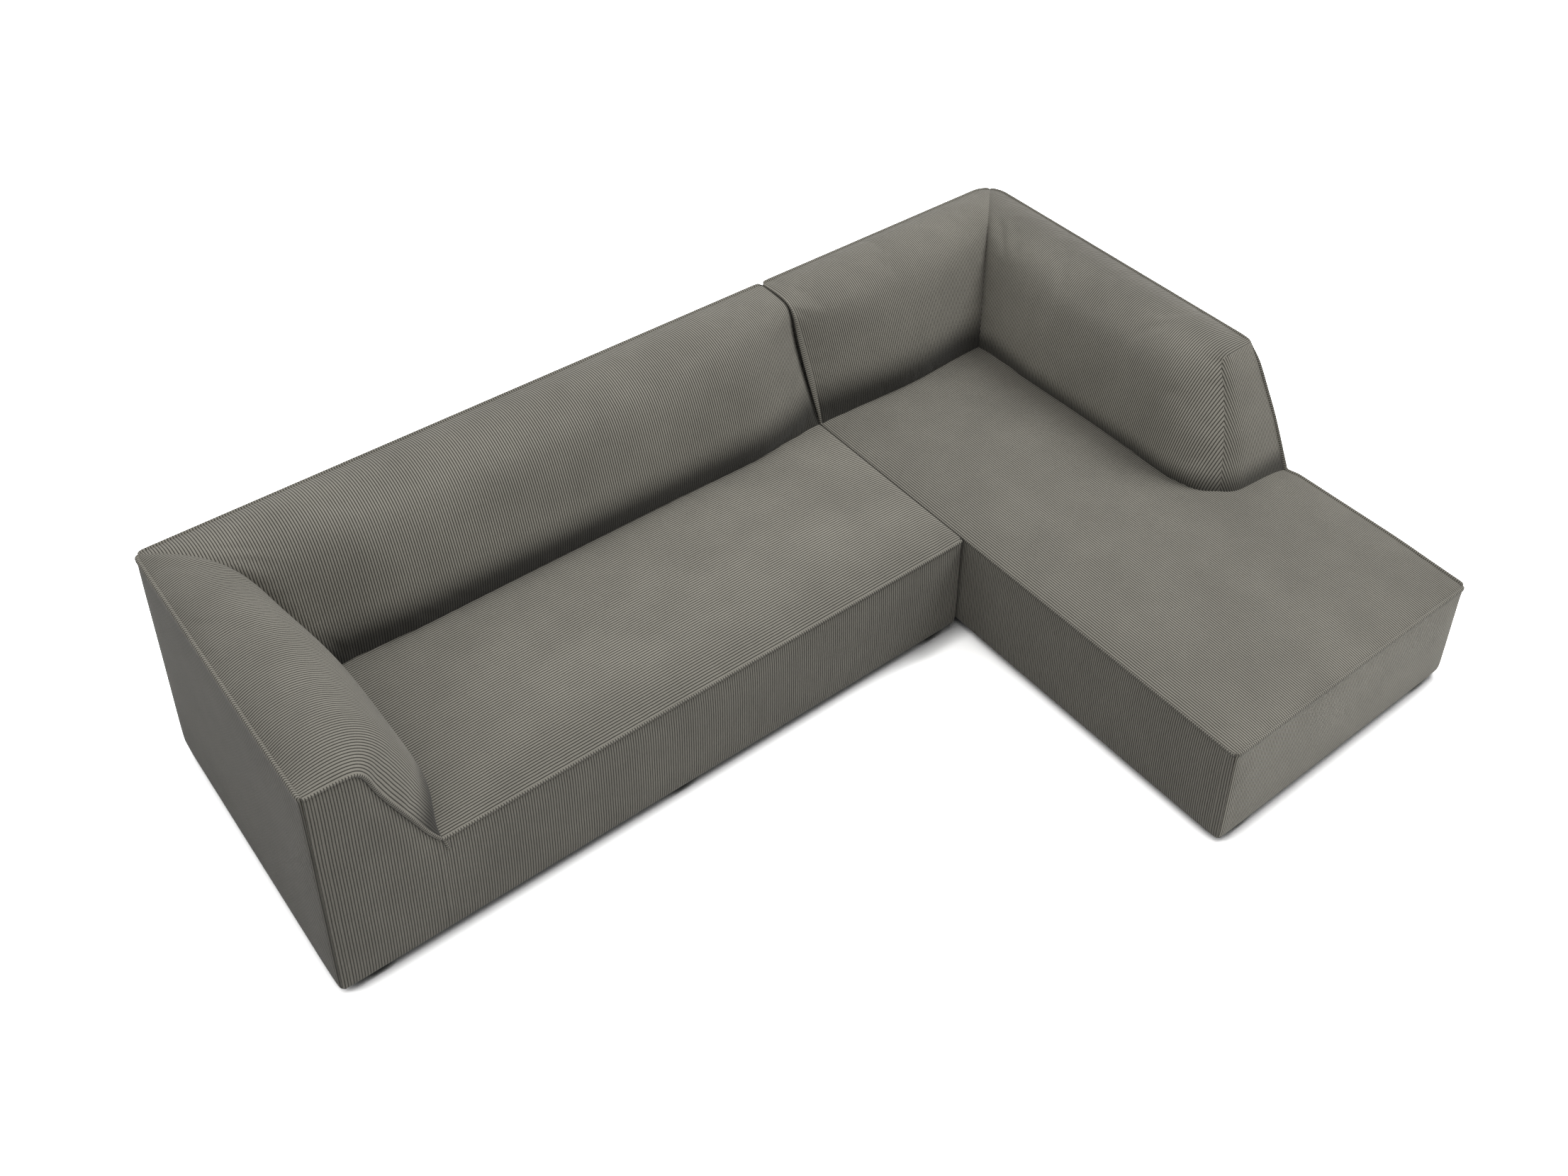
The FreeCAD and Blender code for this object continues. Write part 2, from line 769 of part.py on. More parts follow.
def evenly(first, last):
    """Places about one strap pitch apart, with half a pitch left at each end."""
    span = float(last) - float(first)
    count = max(1, round(span / float(size.strap_pitch)))
    return [float(first) + span * (i + 0.5) / count for i in range(count)]


rest = inner - size.strap_rest
sill_rest = size.sill_reach - size.strap_rest
sofa_columns = evenly(left + size.sill_reach, sofa_right - inner)
sofa_lines = evenly(sofa_front + inner, rear - size.sill_reach)
webbing(
    "sofa_seat_webbing",
    sofa_columns,
    sofa_lines,
    lambda x: (float(sofa_front + rest), float(rear - sill_rest)),
    lambda y: (float(left + sill_rest), float(sofa_right - rest)),
)
chaise_columns = evenly(chaise_left + inner, right - size.sill_reach)
chaise_columns.append(float(right) - float(inner + size.sill_reach) / 2)
chaise_lines = evenly(chaise_front + inner, cross_front) + evenly(frame_front, rear - size.sill_reach)


def chaise_column_ends(x):
    behind = x < float(right - size.sill_reach)
    return (float(chaise_front + rest), float(rear - sill_rest if behind else cross_front + size.strap_rest))


def chaise_line_ends(y):
    ahead = y < float(frame_front)
    return (float(chaise_left + rest), float(right - rest if ahead else right - sill_rest))


webbing("chaise_seat_webbing", chaise_columns, chaise_lines, chaise_column_ends, chaise_line_ends)

# Seat foam
foam_z = (web_top + size.soft_gap, seat_top - size.cover - size.soft_gap)
foam_rear = rear - size.sill_reach - size.soft_gap
foam_left = left + size.sill_reach + size.soft_gap
box("sofa_seat_foam", foam_left, sofa_right - clear, sofa_front + clear, foam_rear, *foam_z)
notch_x = right - size.sill_reach - size.soft_gap
notch_y = frame_front - size.soft_gap
foam_y = (chaise_front + clear, foam_rear)
chaise_foam = box("chaise_foam_block", chaise_left + clear, right - clear, *foam_y, *foam_z)
past = size.overrun
notch_z = (rail_bottom, seat_top + past)
cut("chaise_seat_foam", chaise_foam, [box("foam_notch", notch_x, right, notch_y, rear, *notch_z)])

# Seat covers: padded cloth, crowned mid seat and flat where the arm, back and return stand on it
CROWN_SHARES = ((0.0, 0.02), (0.12, 0.55), (0.33, 0.93), (0.67, 0.93), (0.88, 0.55), (1.0, 0.02))


def seat_section(near, far, margin, crown, at):
    """Flat below, an arc from near to far above, then a flat margin."""
    base, top = float(seat_top - size.cover), float(seat_top - size.soft_gap)
    spots = [at(near, base), at(near, top), at((near + far) / 2, top + crown), at(far, top), at(margin, top)]
    lower = at(margin, base)
    arc = Part.Arc(spots[1], spots[2], spots[3]).toShape()
    lines = [(spots[0], spots[1]), (spots[3], spots[4]), (spots[4], lower), (lower, spots[0])]
    sides = [Part.LineSegment(a, b).toShape() for a, b in lines]
    return Part.Wire([sides[0], arc, sides[1], sides[2], sides[3]])


def seat_cover(label, first, last, stop, near, far, margin, at):
    """Sections from first to last, crowned between them, and flat on to the stop."""
    spots = [(first + share * (last - first), crown) for share, crown in CROWN_SHARES]
    if stop != last:
        spots.append((stop, CROWN_SHARES[-1][1]))
    wires = []
    for spot, crown in spots:
        here = lambda reach, height, spot=spot: at(spot, reach, height)
        wires.append(seat_section(near, far, margin, crown * float(size.seat_crown), here))
    return loft(label, wires)


sofa_edges = (float(sofa_front + size.cover), float(rear - size.base_width), float(foam_rear))
seat_cover(
    "sofa_seat_cover",
    float(sofa_right - size.cover),
    float(left + size.base_width),
    float(left + size.sill_reach + size.soft_gap),
    *sofa_edges,
    lambda spot, reach, height: Vector(spot, reach, height),
)
chaise_edges = (float(chaise_left + size.cover), float(right - size.base_width), float(right - size.cover))
chaise_blank = seat_cover(
    "chaise_seat_blank",
    float(chaise_front + size.cover),
    float(rear - size.base_width),
    float(foam_rear),
    *chaise_edges,
    lambda spot, reach, height: Vector(reach, spot, height),
)
cut("chaise_seat_cover", chaise_blank, [box("cover_notch", notch_x, right, notch_y, rear, *notch_z)])

# Covers of the arm and the backs, and the foam below them
bolster("sofa_arm", run(sofa_front + size.cover, rear), arm_at, corner_cut(left, -45))
bolster("sofa_back", run(sofa_right - size.cover, left), back_at, corner_cut(left, -135))
bolster("chaise_back", run(chaise_left + size.cover, right), back_at, corner_cut(right, -135))

# Return: its padding meets the rear corner in a mitre and closes in front with a leaning, rounded end
SLOPE_SHARES = ((0.0, 1.0), (0.43, 0.63), (0.848, 0.19), (1.0, 0.0))
SEAM_SHARE = 0.77
FLARE_SHARE = 1.4


def end_form(label, depth):
    """A block that bounds the return: plan outlines with a rounded corner, from below the seat to the top."""
    levels = []
    for (height, slope), reach in zip(SLOPE_SHARES, (1.0, 0.775, 0.53, 0.463)):
        radius = float(size.end_corner_radius) * (1 - height) + float(size.end_ridge_radius) * height
        levels.append((height, slope, reach, radius))
    over = float(size.overrun) / float(size.back_rise)
    levels = [(-over, 1.0, 1.0, float(size.end_corner_radius))] + levels
    levels.append((1.0 + 2 * over, 0.0, levels[-1][2], float(size.end_ridge_radius)))
    wires = []
    for height, slope, reach, radius in levels:
        z = float(seat_top) + height * float(size.back_rise)
        front = float(ridge) - slope * float(size.return_reach) + depth
        side = float(right) - reach * float(size.base_width) - float(size.end_margin) + depth
        radius = radius - depth
        corner = radius * (1 - math.sqrt(0.5))
        outside = float(right + size.overrun)
        spots = [
            Vector(outside, front, z),
            Vector(side + radius, front, z),
            Vector(side, front + radius, z),
            Vector(side - FLARE_SHARE * float(size.base_width), float(rear), z),
            Vector(outside, float(rear), z),
        ]
        arc = Part.Arc(spots[1], Vector(side + corner, front + corner, z), spots[2]).toShape()
        bend = arc.discretize(CHORDS + 1)
        wires.append(Part.makePolygon([spots[0], *bend, *spots[3:], spots[0]]))
    result = loft(label, wires)
    result.Ruled = True
    return result


return_run = run(ridge, rear)
base_end = ridge - size.return_reach - size.overrun
return_run = [(base_end, 0.0)] + return_run
return_form, return_hollow = bolster_solids("return", return_run, return_at)
return_full = common("return_full", return_form, end_form("return_end", 0.0))
return_core = common("return_core", return_hollow, end_form("return_inner_end", float(size.cover)))
return_shell = cut("return_shell", return_full, [return_core])
seam_slope = Vector(0, SEAM_SHARE * float(size.return_reach), float(size.back_rise)).normalize()
seam_y = ridge + size.cover
seam_corner = Vector(float(right - 2 * size.base_width), float(seam_y), float(top_seam))
seam_top = seam_corner + seam_slope * float(past)
seam_foot = seam_top - seam_slope * float(size.back_rise + 3 * past)
ahead = Vector(0, -float(size.base_width + past), 0)
seam_face = Part.Face(Part.makePolygon([seam_top, seam_foot, seam_foot + ahead, seam_top + ahead, seam_top]))
seam_block = feature("return_seam", seam_face.extrude(Vector(3 * float(size.base_width), 0, 0)))
common("chaise_return_end_cover", return_shell, seam_block)
cut("chaise_return_cover", return_shell, [seam_block, corner_cut(right, 135)("return_mitre")])
return_block = foam_block("return_block", frame_front, rear, return_at)
cut("chaise_return_foam", return_block, [corner_cut(right, 135)("return_foam_mitre")])
end_block = full_block("return_end_block", base_end, frame_front - size.soft_gap, return_at)
common("chaise_return_end_foam", end_block, end_form("return_foam_end", float(clear)))

# Panels, flat inside and padded towards the outside
bottom = size.floor_gap
padded = size.cover + size.side_crown
front_face, rear_face = sofa_front + size.cover, rear - size.cover
arm_front = [(left, bottom), (sofa_right, bottom), (sofa_right, seat_top)] + profile(from_left)[::-1]
place(plate("sofa_front_cover", "XZ_Plane", [arm_front], padded, (0, -1, 0)), 0, front_face, 0)
chaise_face = [(chaise_left, bottom), (right, bottom), (right, seat_top), (chaise_left, seat_top)]
chaise_plane = chaise_front + size.cover
place(plate("chaise_front_cover", "XZ_Plane", [chaise_face], padded, (0, -1, 0)), 0, chaise_plane, 0)
for name, x0, x1 in (("sofa", left, sofa_right), ("chaise", chaise_left, right)):
    wall = [(x0, bottom), (x1, bottom), (x1, top_seam), (x0, top_seam)]
    place(plate(f"{name}_rear_cover", "XZ_Plane", [wall], padded, (0, 1, 0)), 0, rear + size.side_crown, 0)
side_wall = [(front_face, bottom), (rear_face, bottom), (rear_face, top_seam), (front_face, top_seam)]
place(plate("sofa_left_cover", "YZ_Plane", [side_wall], padded, (-1, 0, 0)), left - size.side_crown, 0, 0)


def split_wall(front):
    """The closed end at the split: seat height in front, the end section of the back behind."""
    back = profile(from_rear)
    back[0] = (rear_face, top_seam)
    return [(front, bottom), (rear_face, bottom)] + back + [(front, seat_top)]


split_panel = plate("sofa_right_cover", "YZ_Plane", [split_wall(front_face)], size.cover)
place(split_panel, sofa_right - size.cover, 0, 0)
place(plate("chaise_left_cover", "YZ_Plane", [split_wall(chaise_plane)], size.cover), chaise_left, 0, 0)
rise_share, slope_share = SLOPE_SHARES[1]
slope_middle = (ridge - slope_share * size.return_reach, seat_top + rise_share * size.back_rise)
return_wall = [
    (chaise_plane, bottom),
    (rear_face, bottom),
    (rear_face, top_seam),
    (ridge, top_seam),
    slope_middle,
    (ridge - size.return_reach, seat_top),
    (chaise_plane, seat_top),
]
place(plate("chaise_right_cover", "YZ_Plane", [return_wall], padded, (1, 0, 0)), right - size.cover, 0, 0)

# Hook plates below the long unit reach under the chaise unit and stand up behind its rail
hook_places = (sofa_front + size.hook_front_inset, rear - size.hook_rear_inset)
hook_top = bottom
hook_low = rail_bottom - size.plate_thickness - size.plate_gap
tongue_x = chaise_left + inner + size.tongue_gap
jog_x = sofa_right - size.plate_thickness
hook_outline = [
    (sofa_right - size.plate_inset, hook_top - size.plate_thickness),
    (jog_x - size.plate_drop, hook_top - size.plate_thickness),
    (jog_x, hook_low - size.plate_thickness),
    (tongue_x + size.plate_thickness, hook_low - size.plate_thickness),
    (tongue_x + size.plate_thickness, hook_low + size.tongue_rise),
    (tongue_x, hook_low + size.tongue_rise),
    (tongue_x, hook_low),
    (jog_x, hook_low),
    (jog_x - size.plate_drop, hook_top),
    (sofa_right - size.plate_inset, hook_top),
]
hook = plate("hook", "XZ_Plane", [hook_outline], size.plate_width)
half_plate = size.plate_width / 2
copies("sofa_hook_plates", hook, [(0, y + half_plate, 0) for y in hook_places])
catch_half = half_plate + size.plate_margin
catch_z = (rail_bottom - size.plate_thickness, rail_bottom)
catches = []
for i, y in enumerate(hook_places):
    catch_y = (y - catch_half, y + catch_half)
    catches.append(box(f"catch_{i}", chaise_left + size.cover, chaise_left + inner, *catch_y, *catch_z))
group("chaise_catch_plates", catches)

# Dust covers below the rails, open for the tenons, the catch plates and the hook tongues
dust_z = (bottom, rail_bottom)
sofa_x = (left + size.cover, sofa_right - size.cover)
sofa_dust = box("sofa_dust_sheet", *sofa_x, front_face, rear_face, *dust_z)
mortised("sofa_dust_cover", sofa_dust, sofa_spots)
chaise_x = (chaise_left + size.cover, right - size.cover)
chaise_dust = box("chaise_dust_sheet", *chaise_x, chaise_plane, rear_face, *dust_z)
catch_far = tongue_x + size.plate_thickness + size.tongue_gap
side = catch_half + size.soft_gap
openings = []
for i, y in enumerate(hook_places):
    openings.append(box(f"catch_opening_{i}", chaise_left, catch_far, y - side, y + side, 0 * side, rail_top))
mortised("chaise_dust_cover", cut("chaise_dust_open", chaise_dust, openings), chaise_spots)

# Every piece that nothing else is made from is a sub-part of its own
doc.recompute()
for thing in doc.Objects:
    if {"Invalid", "Error"} & set(thing.State):
        raise RuntimeError(f"{thing.Label} did not build")
pieces = [thing for thing in doc.Objects if thing.Label.startswith(("sofa_", "chaise_"))]
pieces = [thing for thing in pieces if not thing.InList and hasattr(thing, "Shape")]
os.makedirs("parts", exist_ok=True)
for piece in pieces:
    if piece.Shape.isNull() or not piece.Shape.isValid():
        raise RuntimeError(f"{piece.Label} has no valid shape")
for piece in pieces:
    piece.Shape.exportStep(f"parts/{piece.Label}.step")
print(len(pieces), "pieces")
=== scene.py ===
import math

import bpy
import numpy as np
from mathutils import Matrix, Vector


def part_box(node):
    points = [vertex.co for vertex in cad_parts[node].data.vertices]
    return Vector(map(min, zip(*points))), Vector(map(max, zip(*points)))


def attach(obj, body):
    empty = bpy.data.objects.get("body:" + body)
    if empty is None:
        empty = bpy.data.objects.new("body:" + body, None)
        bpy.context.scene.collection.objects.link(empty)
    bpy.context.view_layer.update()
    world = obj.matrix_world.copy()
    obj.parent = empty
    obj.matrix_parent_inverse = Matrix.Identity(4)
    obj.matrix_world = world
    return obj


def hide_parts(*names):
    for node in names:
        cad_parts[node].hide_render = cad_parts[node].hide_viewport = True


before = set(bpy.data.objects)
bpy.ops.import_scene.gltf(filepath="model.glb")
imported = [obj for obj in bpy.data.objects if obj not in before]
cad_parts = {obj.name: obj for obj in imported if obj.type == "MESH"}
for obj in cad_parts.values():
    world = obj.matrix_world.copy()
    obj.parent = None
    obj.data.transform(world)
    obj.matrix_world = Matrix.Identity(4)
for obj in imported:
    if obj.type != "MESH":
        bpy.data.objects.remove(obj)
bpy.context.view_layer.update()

bpy.ops.object.select_all(action="DESELECT")

# Camera: it looks down on the sofa from the front left, and its shift keeps the sofa low in the picture. The
# picture's size, the focal length and the point straight ahead of the camera are in pixels.
picture_width, picture_height = 2212, 1659
focal_length = 2456.7
ahead_across, ahead_down = 1124.9, 337.6
camera_place = (-2.031, -2.374, 3.496)
turn, tilt, roll = (math.radians(angle) for angle in (-38.71, 33.13, 0.79))
bpy.ops.object.camera_add(location=camera_place)
camera = bpy.context.object
camera.name = "camera"
camera.rotation_mode = "QUATERNION"
ahead = Vector((-math.sin(turn) * math.cos(tilt), math.cos(turn) * math.cos(tilt), -math.sin(tilt)))
across = Vector((math.cos(turn), math.sin(turn), 0))
upward = across.cross(ahead)
camera_right = math.cos(roll) * across + math.sin(roll) * upward
camera_up = -math.sin(roll) * across + math.cos(roll) * upward
camera.matrix_world = Matrix((*zip(camera_right, camera_up, -ahead, camera_place), (0, 0, 0, 1)))
camera.data.sensor_width = 36
camera.data.lens = 36 * focal_length / picture_width
camera.data.shift_x = -(ahead_across - picture_width / 2) / picture_width
camera.data.shift_y = (ahead_down - picture_height / 2) / picture_width
camera.data.clip_end = 60
bpy.context.scene.camera = camera
bpy.context.scene.view_settings.view_transform = "Standard"

# Base frames: planed softwood rails, sills, stretchers and glued corner blocks, with top boards on the
# uprights. Their growth rings run along each board as fine darker streaks.


def shade_group(name, **inputs):
    """A node group with these inputs, which puts out a colour, a height and a roughness."""
    group = bpy.data.node_groups.new(name, "ShaderNodeTree")
    for label, kind in inputs.items():
        group.interface.new_socket(name=label, in_out="INPUT", socket_type="NodeSocket" + kind)
    for label, kind in (("Color", "Color"), ("Height", "Float"), ("Roughness", "Float")):
        group.interface.new_socket(name=label, in_out="OUTPUT", socket_type="NodeSocket" + kind)
    return group, group.nodes.new("NodeGroupInput").outputs


def put_out(tree, **results):
    end = tree.nodes.new("NodeGroupOutput")
    for name, value in results.items():
        tree.links.new(value, end.inputs[name])


def step(tree, kind, name=0, **values):
    """An output of a new node, by its name or index, with the node's inputs set or linked by their index."""
    node = tree.nodes.new(kind)
    for key, value in values.items():
        if not key.startswith("in_"):
            setattr(node, key, value)
        elif isinstance(value, bpy.types.NodeSocket):
            tree.links.new(value, node.inputs[int(key[3:])])
        else:
            node.inputs[int(key[3:])].default_value = value
    return node.outputs[name]


def maths(tree, operation, a, b=0.0, c=0.0):
    return step(tree, "ShaderNodeMath", operation=operation, in_0=a, in_1=b, in_2=c)


def noise(tree, place, scale, detail, roughness=0.5):
    return step(tree, "ShaderNodeTexNoise", "Fac", in_0=place, in_2=scale, in_3=detail, in_4=roughness)


def between(tree, value, low, high, start=0.0, end=1.0, **extra):
    return step(tree, "ShaderNodeMapRange", in_0=value, in_1=low, in_2=high, in_3=start, in_4=end, **extra)


def two_colours(tree, share, first, second):
    return step(tree, "ShaderNodeMix", 2, data_type="RGBA", in_0=share, in_6=first, in_7=second)


def dressed(name, group, strength, depth, stretch=(1, 1, 1), **values):
    """A material whose colour, roughness and relief come from a node group on object coordinates. Strength
    and depth are those of the relief, and the pattern is finer along an axis with a larger stretch."""
    material = bpy.data.materials.new(name)
    material.use_nodes = True
    tree = material.node_tree
    surface = tree.nodes["Principled BSDF"]
    finish = tree.nodes.new("ShaderNodeGroup")
    finish.node_tree = group
    finish.name = "finish"
    place = step(tree, "ShaderNodeTexCoord", "Object")
    tree.links.new(step(tree, "ShaderNodeMapping", in_0=place, in_3=stretch), finish.inputs["Position"])
    for socket, value in values.items():
        finish.inputs[socket].default_value = value
    relief = step(tree, "ShaderNodeBump", in_0=strength, in_1=depth, in_3=finish.outputs["Height"])
    tree.links.new(relief, surface.inputs["Normal"])
    tree.links.new(finish.outputs["Color"], surface.inputs["Base Color"])
    tree.links.new(finish.outputs["Roughness"], surface.inputs["Roughness"])
    return material


def finish_in(material, *names):
    for name in names:
        mesh = bpy.data.objects[name].data
        mesh.materials.clear()
        mesh.materials.append(material)


wood_grain, given = shade_group("wood_grain", Position="Vector", Pale="Color", Dark="Color", Contrast="Float")
streaks = noise(wood_grain, given["Position"], 9.0, 4.0)
fibre = noise(wood_grain, given["Position"], 70.0, 2.0)
ringed = between(wood_grain, maths(wood_grain, "MULTIPLY_ADD", fibre, 0.35, streaks), 0.45, 0.9)
ringed = maths(wood_grain, "MULTIPLY", ringed, given["Contrast"])
put_out(
    wood_grain,
    Color=two_colours(wood_grain, ringed, given["Pale"], given["Dark"]),
    Height=fibre,
    Roughness=between(wood_grain, fibre, 0.3, 0.7, 0.5, 0.75),
)
softwood = {"Pale": (0.56, 0.4, 0.22, 1), "Dark": (0.36, 0.21, 0.09, 1), "Contrast": 0.8}
timber_across = dressed("timber_across", wood_grain, 0.25, 0.0008, (1, 14, 14), **softwood)
timber_lengthways = dressed("timber_lengthways", wood_grain, 0.25, 0.0008, (14, 1, 14), **softwood)
for unit in ("sofa", "chaise"):
    for board in ("front_rail", "rear_rail", "sills", "top_boards", "corner_blocks"):
        finish_in(timber_across, f"{unit}_{board}")
    finish_in(timber_lengthways, f"{unit}_side_rails", f"{unit}_stretchers")

# Uprights: plywood ribs with windows, which carry the arm, the backs and the return. They are glued and
# screwed to the sills.
plywood = dressed(
    "plywood", wood_grain, 0.2, 0.0006, (16, 16, 1.5),
    Pale=(0.6, 0.45, 0.27, 1), Dark=(0.42, 0.28, 0.15, 1), Contrast=0.6,
)
finish_in(plywood, "sofa_arm_ribs", "sofa_back_ribs", "chaise_back_ribs", "chaise_return_ribs")

# Outer boards: thin hardboard, pinned outside the uprights under the side and rear panels. Its pressed fibres
# show as brown specks.
pressed_fibres, given = shade_group(
    "pressed_fibres", Position="Vector", Pale="Color", Dark="Color", Fineness="Float",
)
coarse = noise(pressed_fibres, given["Position"], given["Fineness"], 4.0, 0.7)
patchy = noise(pressed_fibres, given["Position"], 6.0, 2.0)
mixed = maths(pressed_fibres, "MULTIPLY_ADD", maths(pressed_fibres, "SUBTRACT", patchy, 0.5), 0.5, coarse)
mixed = between(pressed_fibres, mixed, 0.3, 0.7)
put_out(
    pressed_fibres,
    Color=two_colours(pressed_fibres, mixed, given["Dark"], given["Pale"]),
    Height=coarse,
    Roughness=between(pressed_fibres, coarse, 0.3, 0.7, 0.95, 0.8),
)
hardboard = dressed(
    "hardboard", pressed_fibres, 0.3, 0.0005,
    Pale=(0.25, 0.15, 0.08, 1), Dark=(0.12, 0.065, 0.03, 1), Fineness=260.0,
)
finish_in(hardboard, "sofa_outer_boards", "chaise_outer_boards")

# Feet: low tapered blocks of dark stained hardwood, set with a tenon into the corner blocks and stretchers. A
# glide of grey pressed felt is glued below each.
stained_wood = dressed(
    "stained_wood", wood_grain, 0.2, 0.0005, (18, 18, 2),
    Pale=(0.05, 0.031, 0.021, 1), Dark=(0.018, 0.011, 0.008, 1), Contrast=1.0,
)
finish_in(stained_wood, "sofa_feet", "chaise_feet")
felt = dressed(
    "grey_felt", pressed_fibres, 0.6, 0.0006,
    Pale=(0.2, 0.19, 0.18, 1), Dark=(0.09, 0.088, 0.085, 1), Fineness=900.0,
)
finish_in(felt, "sofa_glides", "chaise_glides")

# Hook plates: bent zinc-plated steel below the long unit, with catch plates below the chaise unit's side
# rail. The zinc shows faint crystals and is duller where it is handled.
zinc = bpy.data.materials.new("zinc_plate")
zinc.use_nodes = True
tree = zinc.node_tree
surface = tree.nodes["Principled BSDF"]
surface.inputs["Metallic"].default_value = 1.0
place = step(tree, "ShaderNodeTexCoord", "Object")
crystals = step(tree, "ShaderNodeTexVoronoi", "Color", in_0=place, in_2=140.0)
crystals = step(tree, "ShaderNodeSeparateColor", "Red", in_0=crystals)
handled = noise(tree, place, 25.0, 3.0)
tint = two_colours(tree, crystals, (0.5, 0.51, 0.52, 1), (0.66, 0.67, 0.68, 1))
tree.links.new(tint, surface.inputs["Base Color"])
tree.links.new(between(tree, handled, 0.3, 0.7, 0.3, 0.5), surface.inputs["Roughness"])
finish_in(zinc, "sofa_hook_plates", "chaise_catch_plates")

# Webbing: elastic straps woven over and under one another across the seat frames, and flat straps across the
# uprights. They are stapled down at their ends, and a pair of their threads is about 4 mm wide.
thread_waves = 1500.0
webbing = bpy.data.materials.new("jute_webbing")
webbing.use_nodes = True
tree = webbing.node_tree
surface = tree.nodes["Principled BSDF"]
place = step(tree, "ShaderNodeTexCoord", "Object")
x, y, z = (step(tree, "ShaderNodeSeparateXYZ", axis, in_0=place) for axis in "XYZ")
warp = maths(tree, "SINE", maths(tree, "MULTIPLY", x, thread_waves))
weft = maths(tree, "SINE", maths(tree, "MULTIPLY", maths(tree, "ADD", y, z), thread_waves))
woven = maths(tree, "MULTIPLY_ADD", maths(tree, "MULTIPLY", warp, weft), 0.5, 0.5)
worn = noise(tree, place, 30.0, 3.0)
woven = maths(tree, "MULTIPLY_ADD", maths(tree, "SUBTRACT", worn, 0.5), 0.5, woven)
tint = two_colours(tree, woven, (0.2, 0.15, 0.09, 1), (0.5, 0.42, 0.29, 1))
tree.links.new(tint, surface.inputs["Base Color"])
tree.links.new(between(tree, worn, 0.3, 0.7, 0.8, 0.95), surface.inputs["Roughness"])
relief = step(tree, "ShaderNodeBump", in_0=0.5, in_1=0.0005, in_3=woven)
tree.links.new(relief, surface.inputs["Normal"])


def pick(piece):
    bpy.ops.object.select_all(action="DESELECT")
    piece.select_set(True)
    bpy.context.view_layer.objects.active = piece


def shape(piece, kind, **settings):
    """Adds a modifier to the piece and applies it."""
    pick(piece)
    modifier = piece.modifiers.new("shaping", kind)
    for name, value in settings.items():
        setattr(modifier, name, value)
    bpy.ops.object.modifier_apply(modifier="shaping")


def copied_from(node, name):
    """A piece that starts as a copy of a CAD solid, with its loose triangles joined."""
    piece = bpy.data.objects.new(name, bpy.data.objects[node].data.copy())
    bpy.context.scene.collection.objects.link(piece)
    pick(piece)
    bpy.ops.object.mode_set(mode="EDIT")
    bpy.ops.mesh.select_all(action="SELECT")
    bpy.ops.mesh.remove_doubles(threshold=0.00002)
    bpy.ops.mesh.dissolve_limited(angle_limit=math.radians(1))
    bpy.ops.object.mode_set(mode="OBJECT")
    piece.data.name = name
    return piece


for unit in ("sofa", "chaise"):
    for node, name in (("seat_webbing", "seat_straps"), ("frame_straps", "frame_bands")):
        straps = copied_from(f"{unit}_{node}", f"{unit}_{name}")
        shape(straps, "BEVEL", width=0.0006, segments=2, limit_method="ANGLE")
        bpy.ops.object.shade_smooth_by_angle(angle=math.radians(50))
        finish_in(webbing, straps.name)
        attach(straps, f"{unit}_unit")
        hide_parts(f"{unit}_{node}")

# Foam: cut blocks of open-cell foam on the webbing and round the uprights. The covers ease their edges, and
# round them in plan at the upright corners.
foam = dressed(
    "foam_cells", pressed_fibres, 0.8, 0.001,
    Pale=(0.72, 0.66, 0.46, 1), Dark=(0.4, 0.35, 0.2, 1), Fineness=700.0,
)


def frame_box(node):
    """A node's lowest and highest corners, in metres to a tenth of a millimetre."""
    return [[round(value, 4) for value in corner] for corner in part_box(node)]


# Faces of the panels, which lie this far outside the timber. The timber has the plan of the dust covers.
side_padding, split_padding = 0.008, 0.006
(timber_left, timber_front, floor_gap), (timber_split, timber_rear, _) = frame_box("sofa_dust_cover")
left, sofa_front = timber_left - side_padding, timber_front - side_padding
rear, sofa_right = timber_rear + side_padding, timber_split + split_padding
(chaise_split, chaise_timber_front, _), (timber_right, _, _) = frame_box("chaise_dust_cover")
right, chaise_front = timber_right + side_padding, chaise_timber_front - side_padding
chaise_left = chaise_split - split_padding
split = (timber_split + chaise_split) / 2
# Heights of the seam round the seats, of the timber's top, and of the seam along the arm and the backs
seat_top = frame_box("chaise_front_cover")[1][2]
frame_top = frame_box("sofa_top_boards")[1][2]
top_seam = frame_box("sofa_rear_cover")[1][2] + 0.005

# The return's end leans back from its foot to the ridge, with these shares of the run at shares of the height
slope_height, slope_run = 0.329, 0.182
ridge = frame_box("chaise_return_end_cover")[0][1] + slope_run
slope_heights = [0.0, 0.43, 0.848, 1.0]
slope_shares = [1.0, 0.63, 0.19, 0.0]

# Upright corners with their radius in plan, over the timber and at the top seam, where there is only foam
upright_corners = {
    "sofa": [
        (left, sofa_front, 0.012, 0.012), (left, rear, 0.012, 0.02),
        (sofa_right, sofa_front, 0.01, 0.01), (sofa_right, rear, 0.01, 0.01),
    ],
    "chaise": [
        (chaise_left, chaise_front, 0.012, 0.012), (right, chaise_front, 0.014, 0.014),
        (right, rear, 0.012, 0.07), (chaise_left, rear, 0.01, 0.01),
    ],
}
# A point up to this far outside a corner is still drawn in with it
beyond_corner = 0.02
# The front of the ridge is rounded by this radius at its top, from this share of the slope's height upwards
ridge_radius, ridge_start = 0.014, 0.88
# Each of the two backs leans away from the split by up to this much, over this width
parting, parting_width = 0.0065, 0.12


def front_line(h):
    return ridge - slope_run * float(np.interp(h, slope_heights, slope_shares))


def easing(x):
    x = min(max(x, 0.0), 1.0)
    return x * x * (3 - 2 * x)


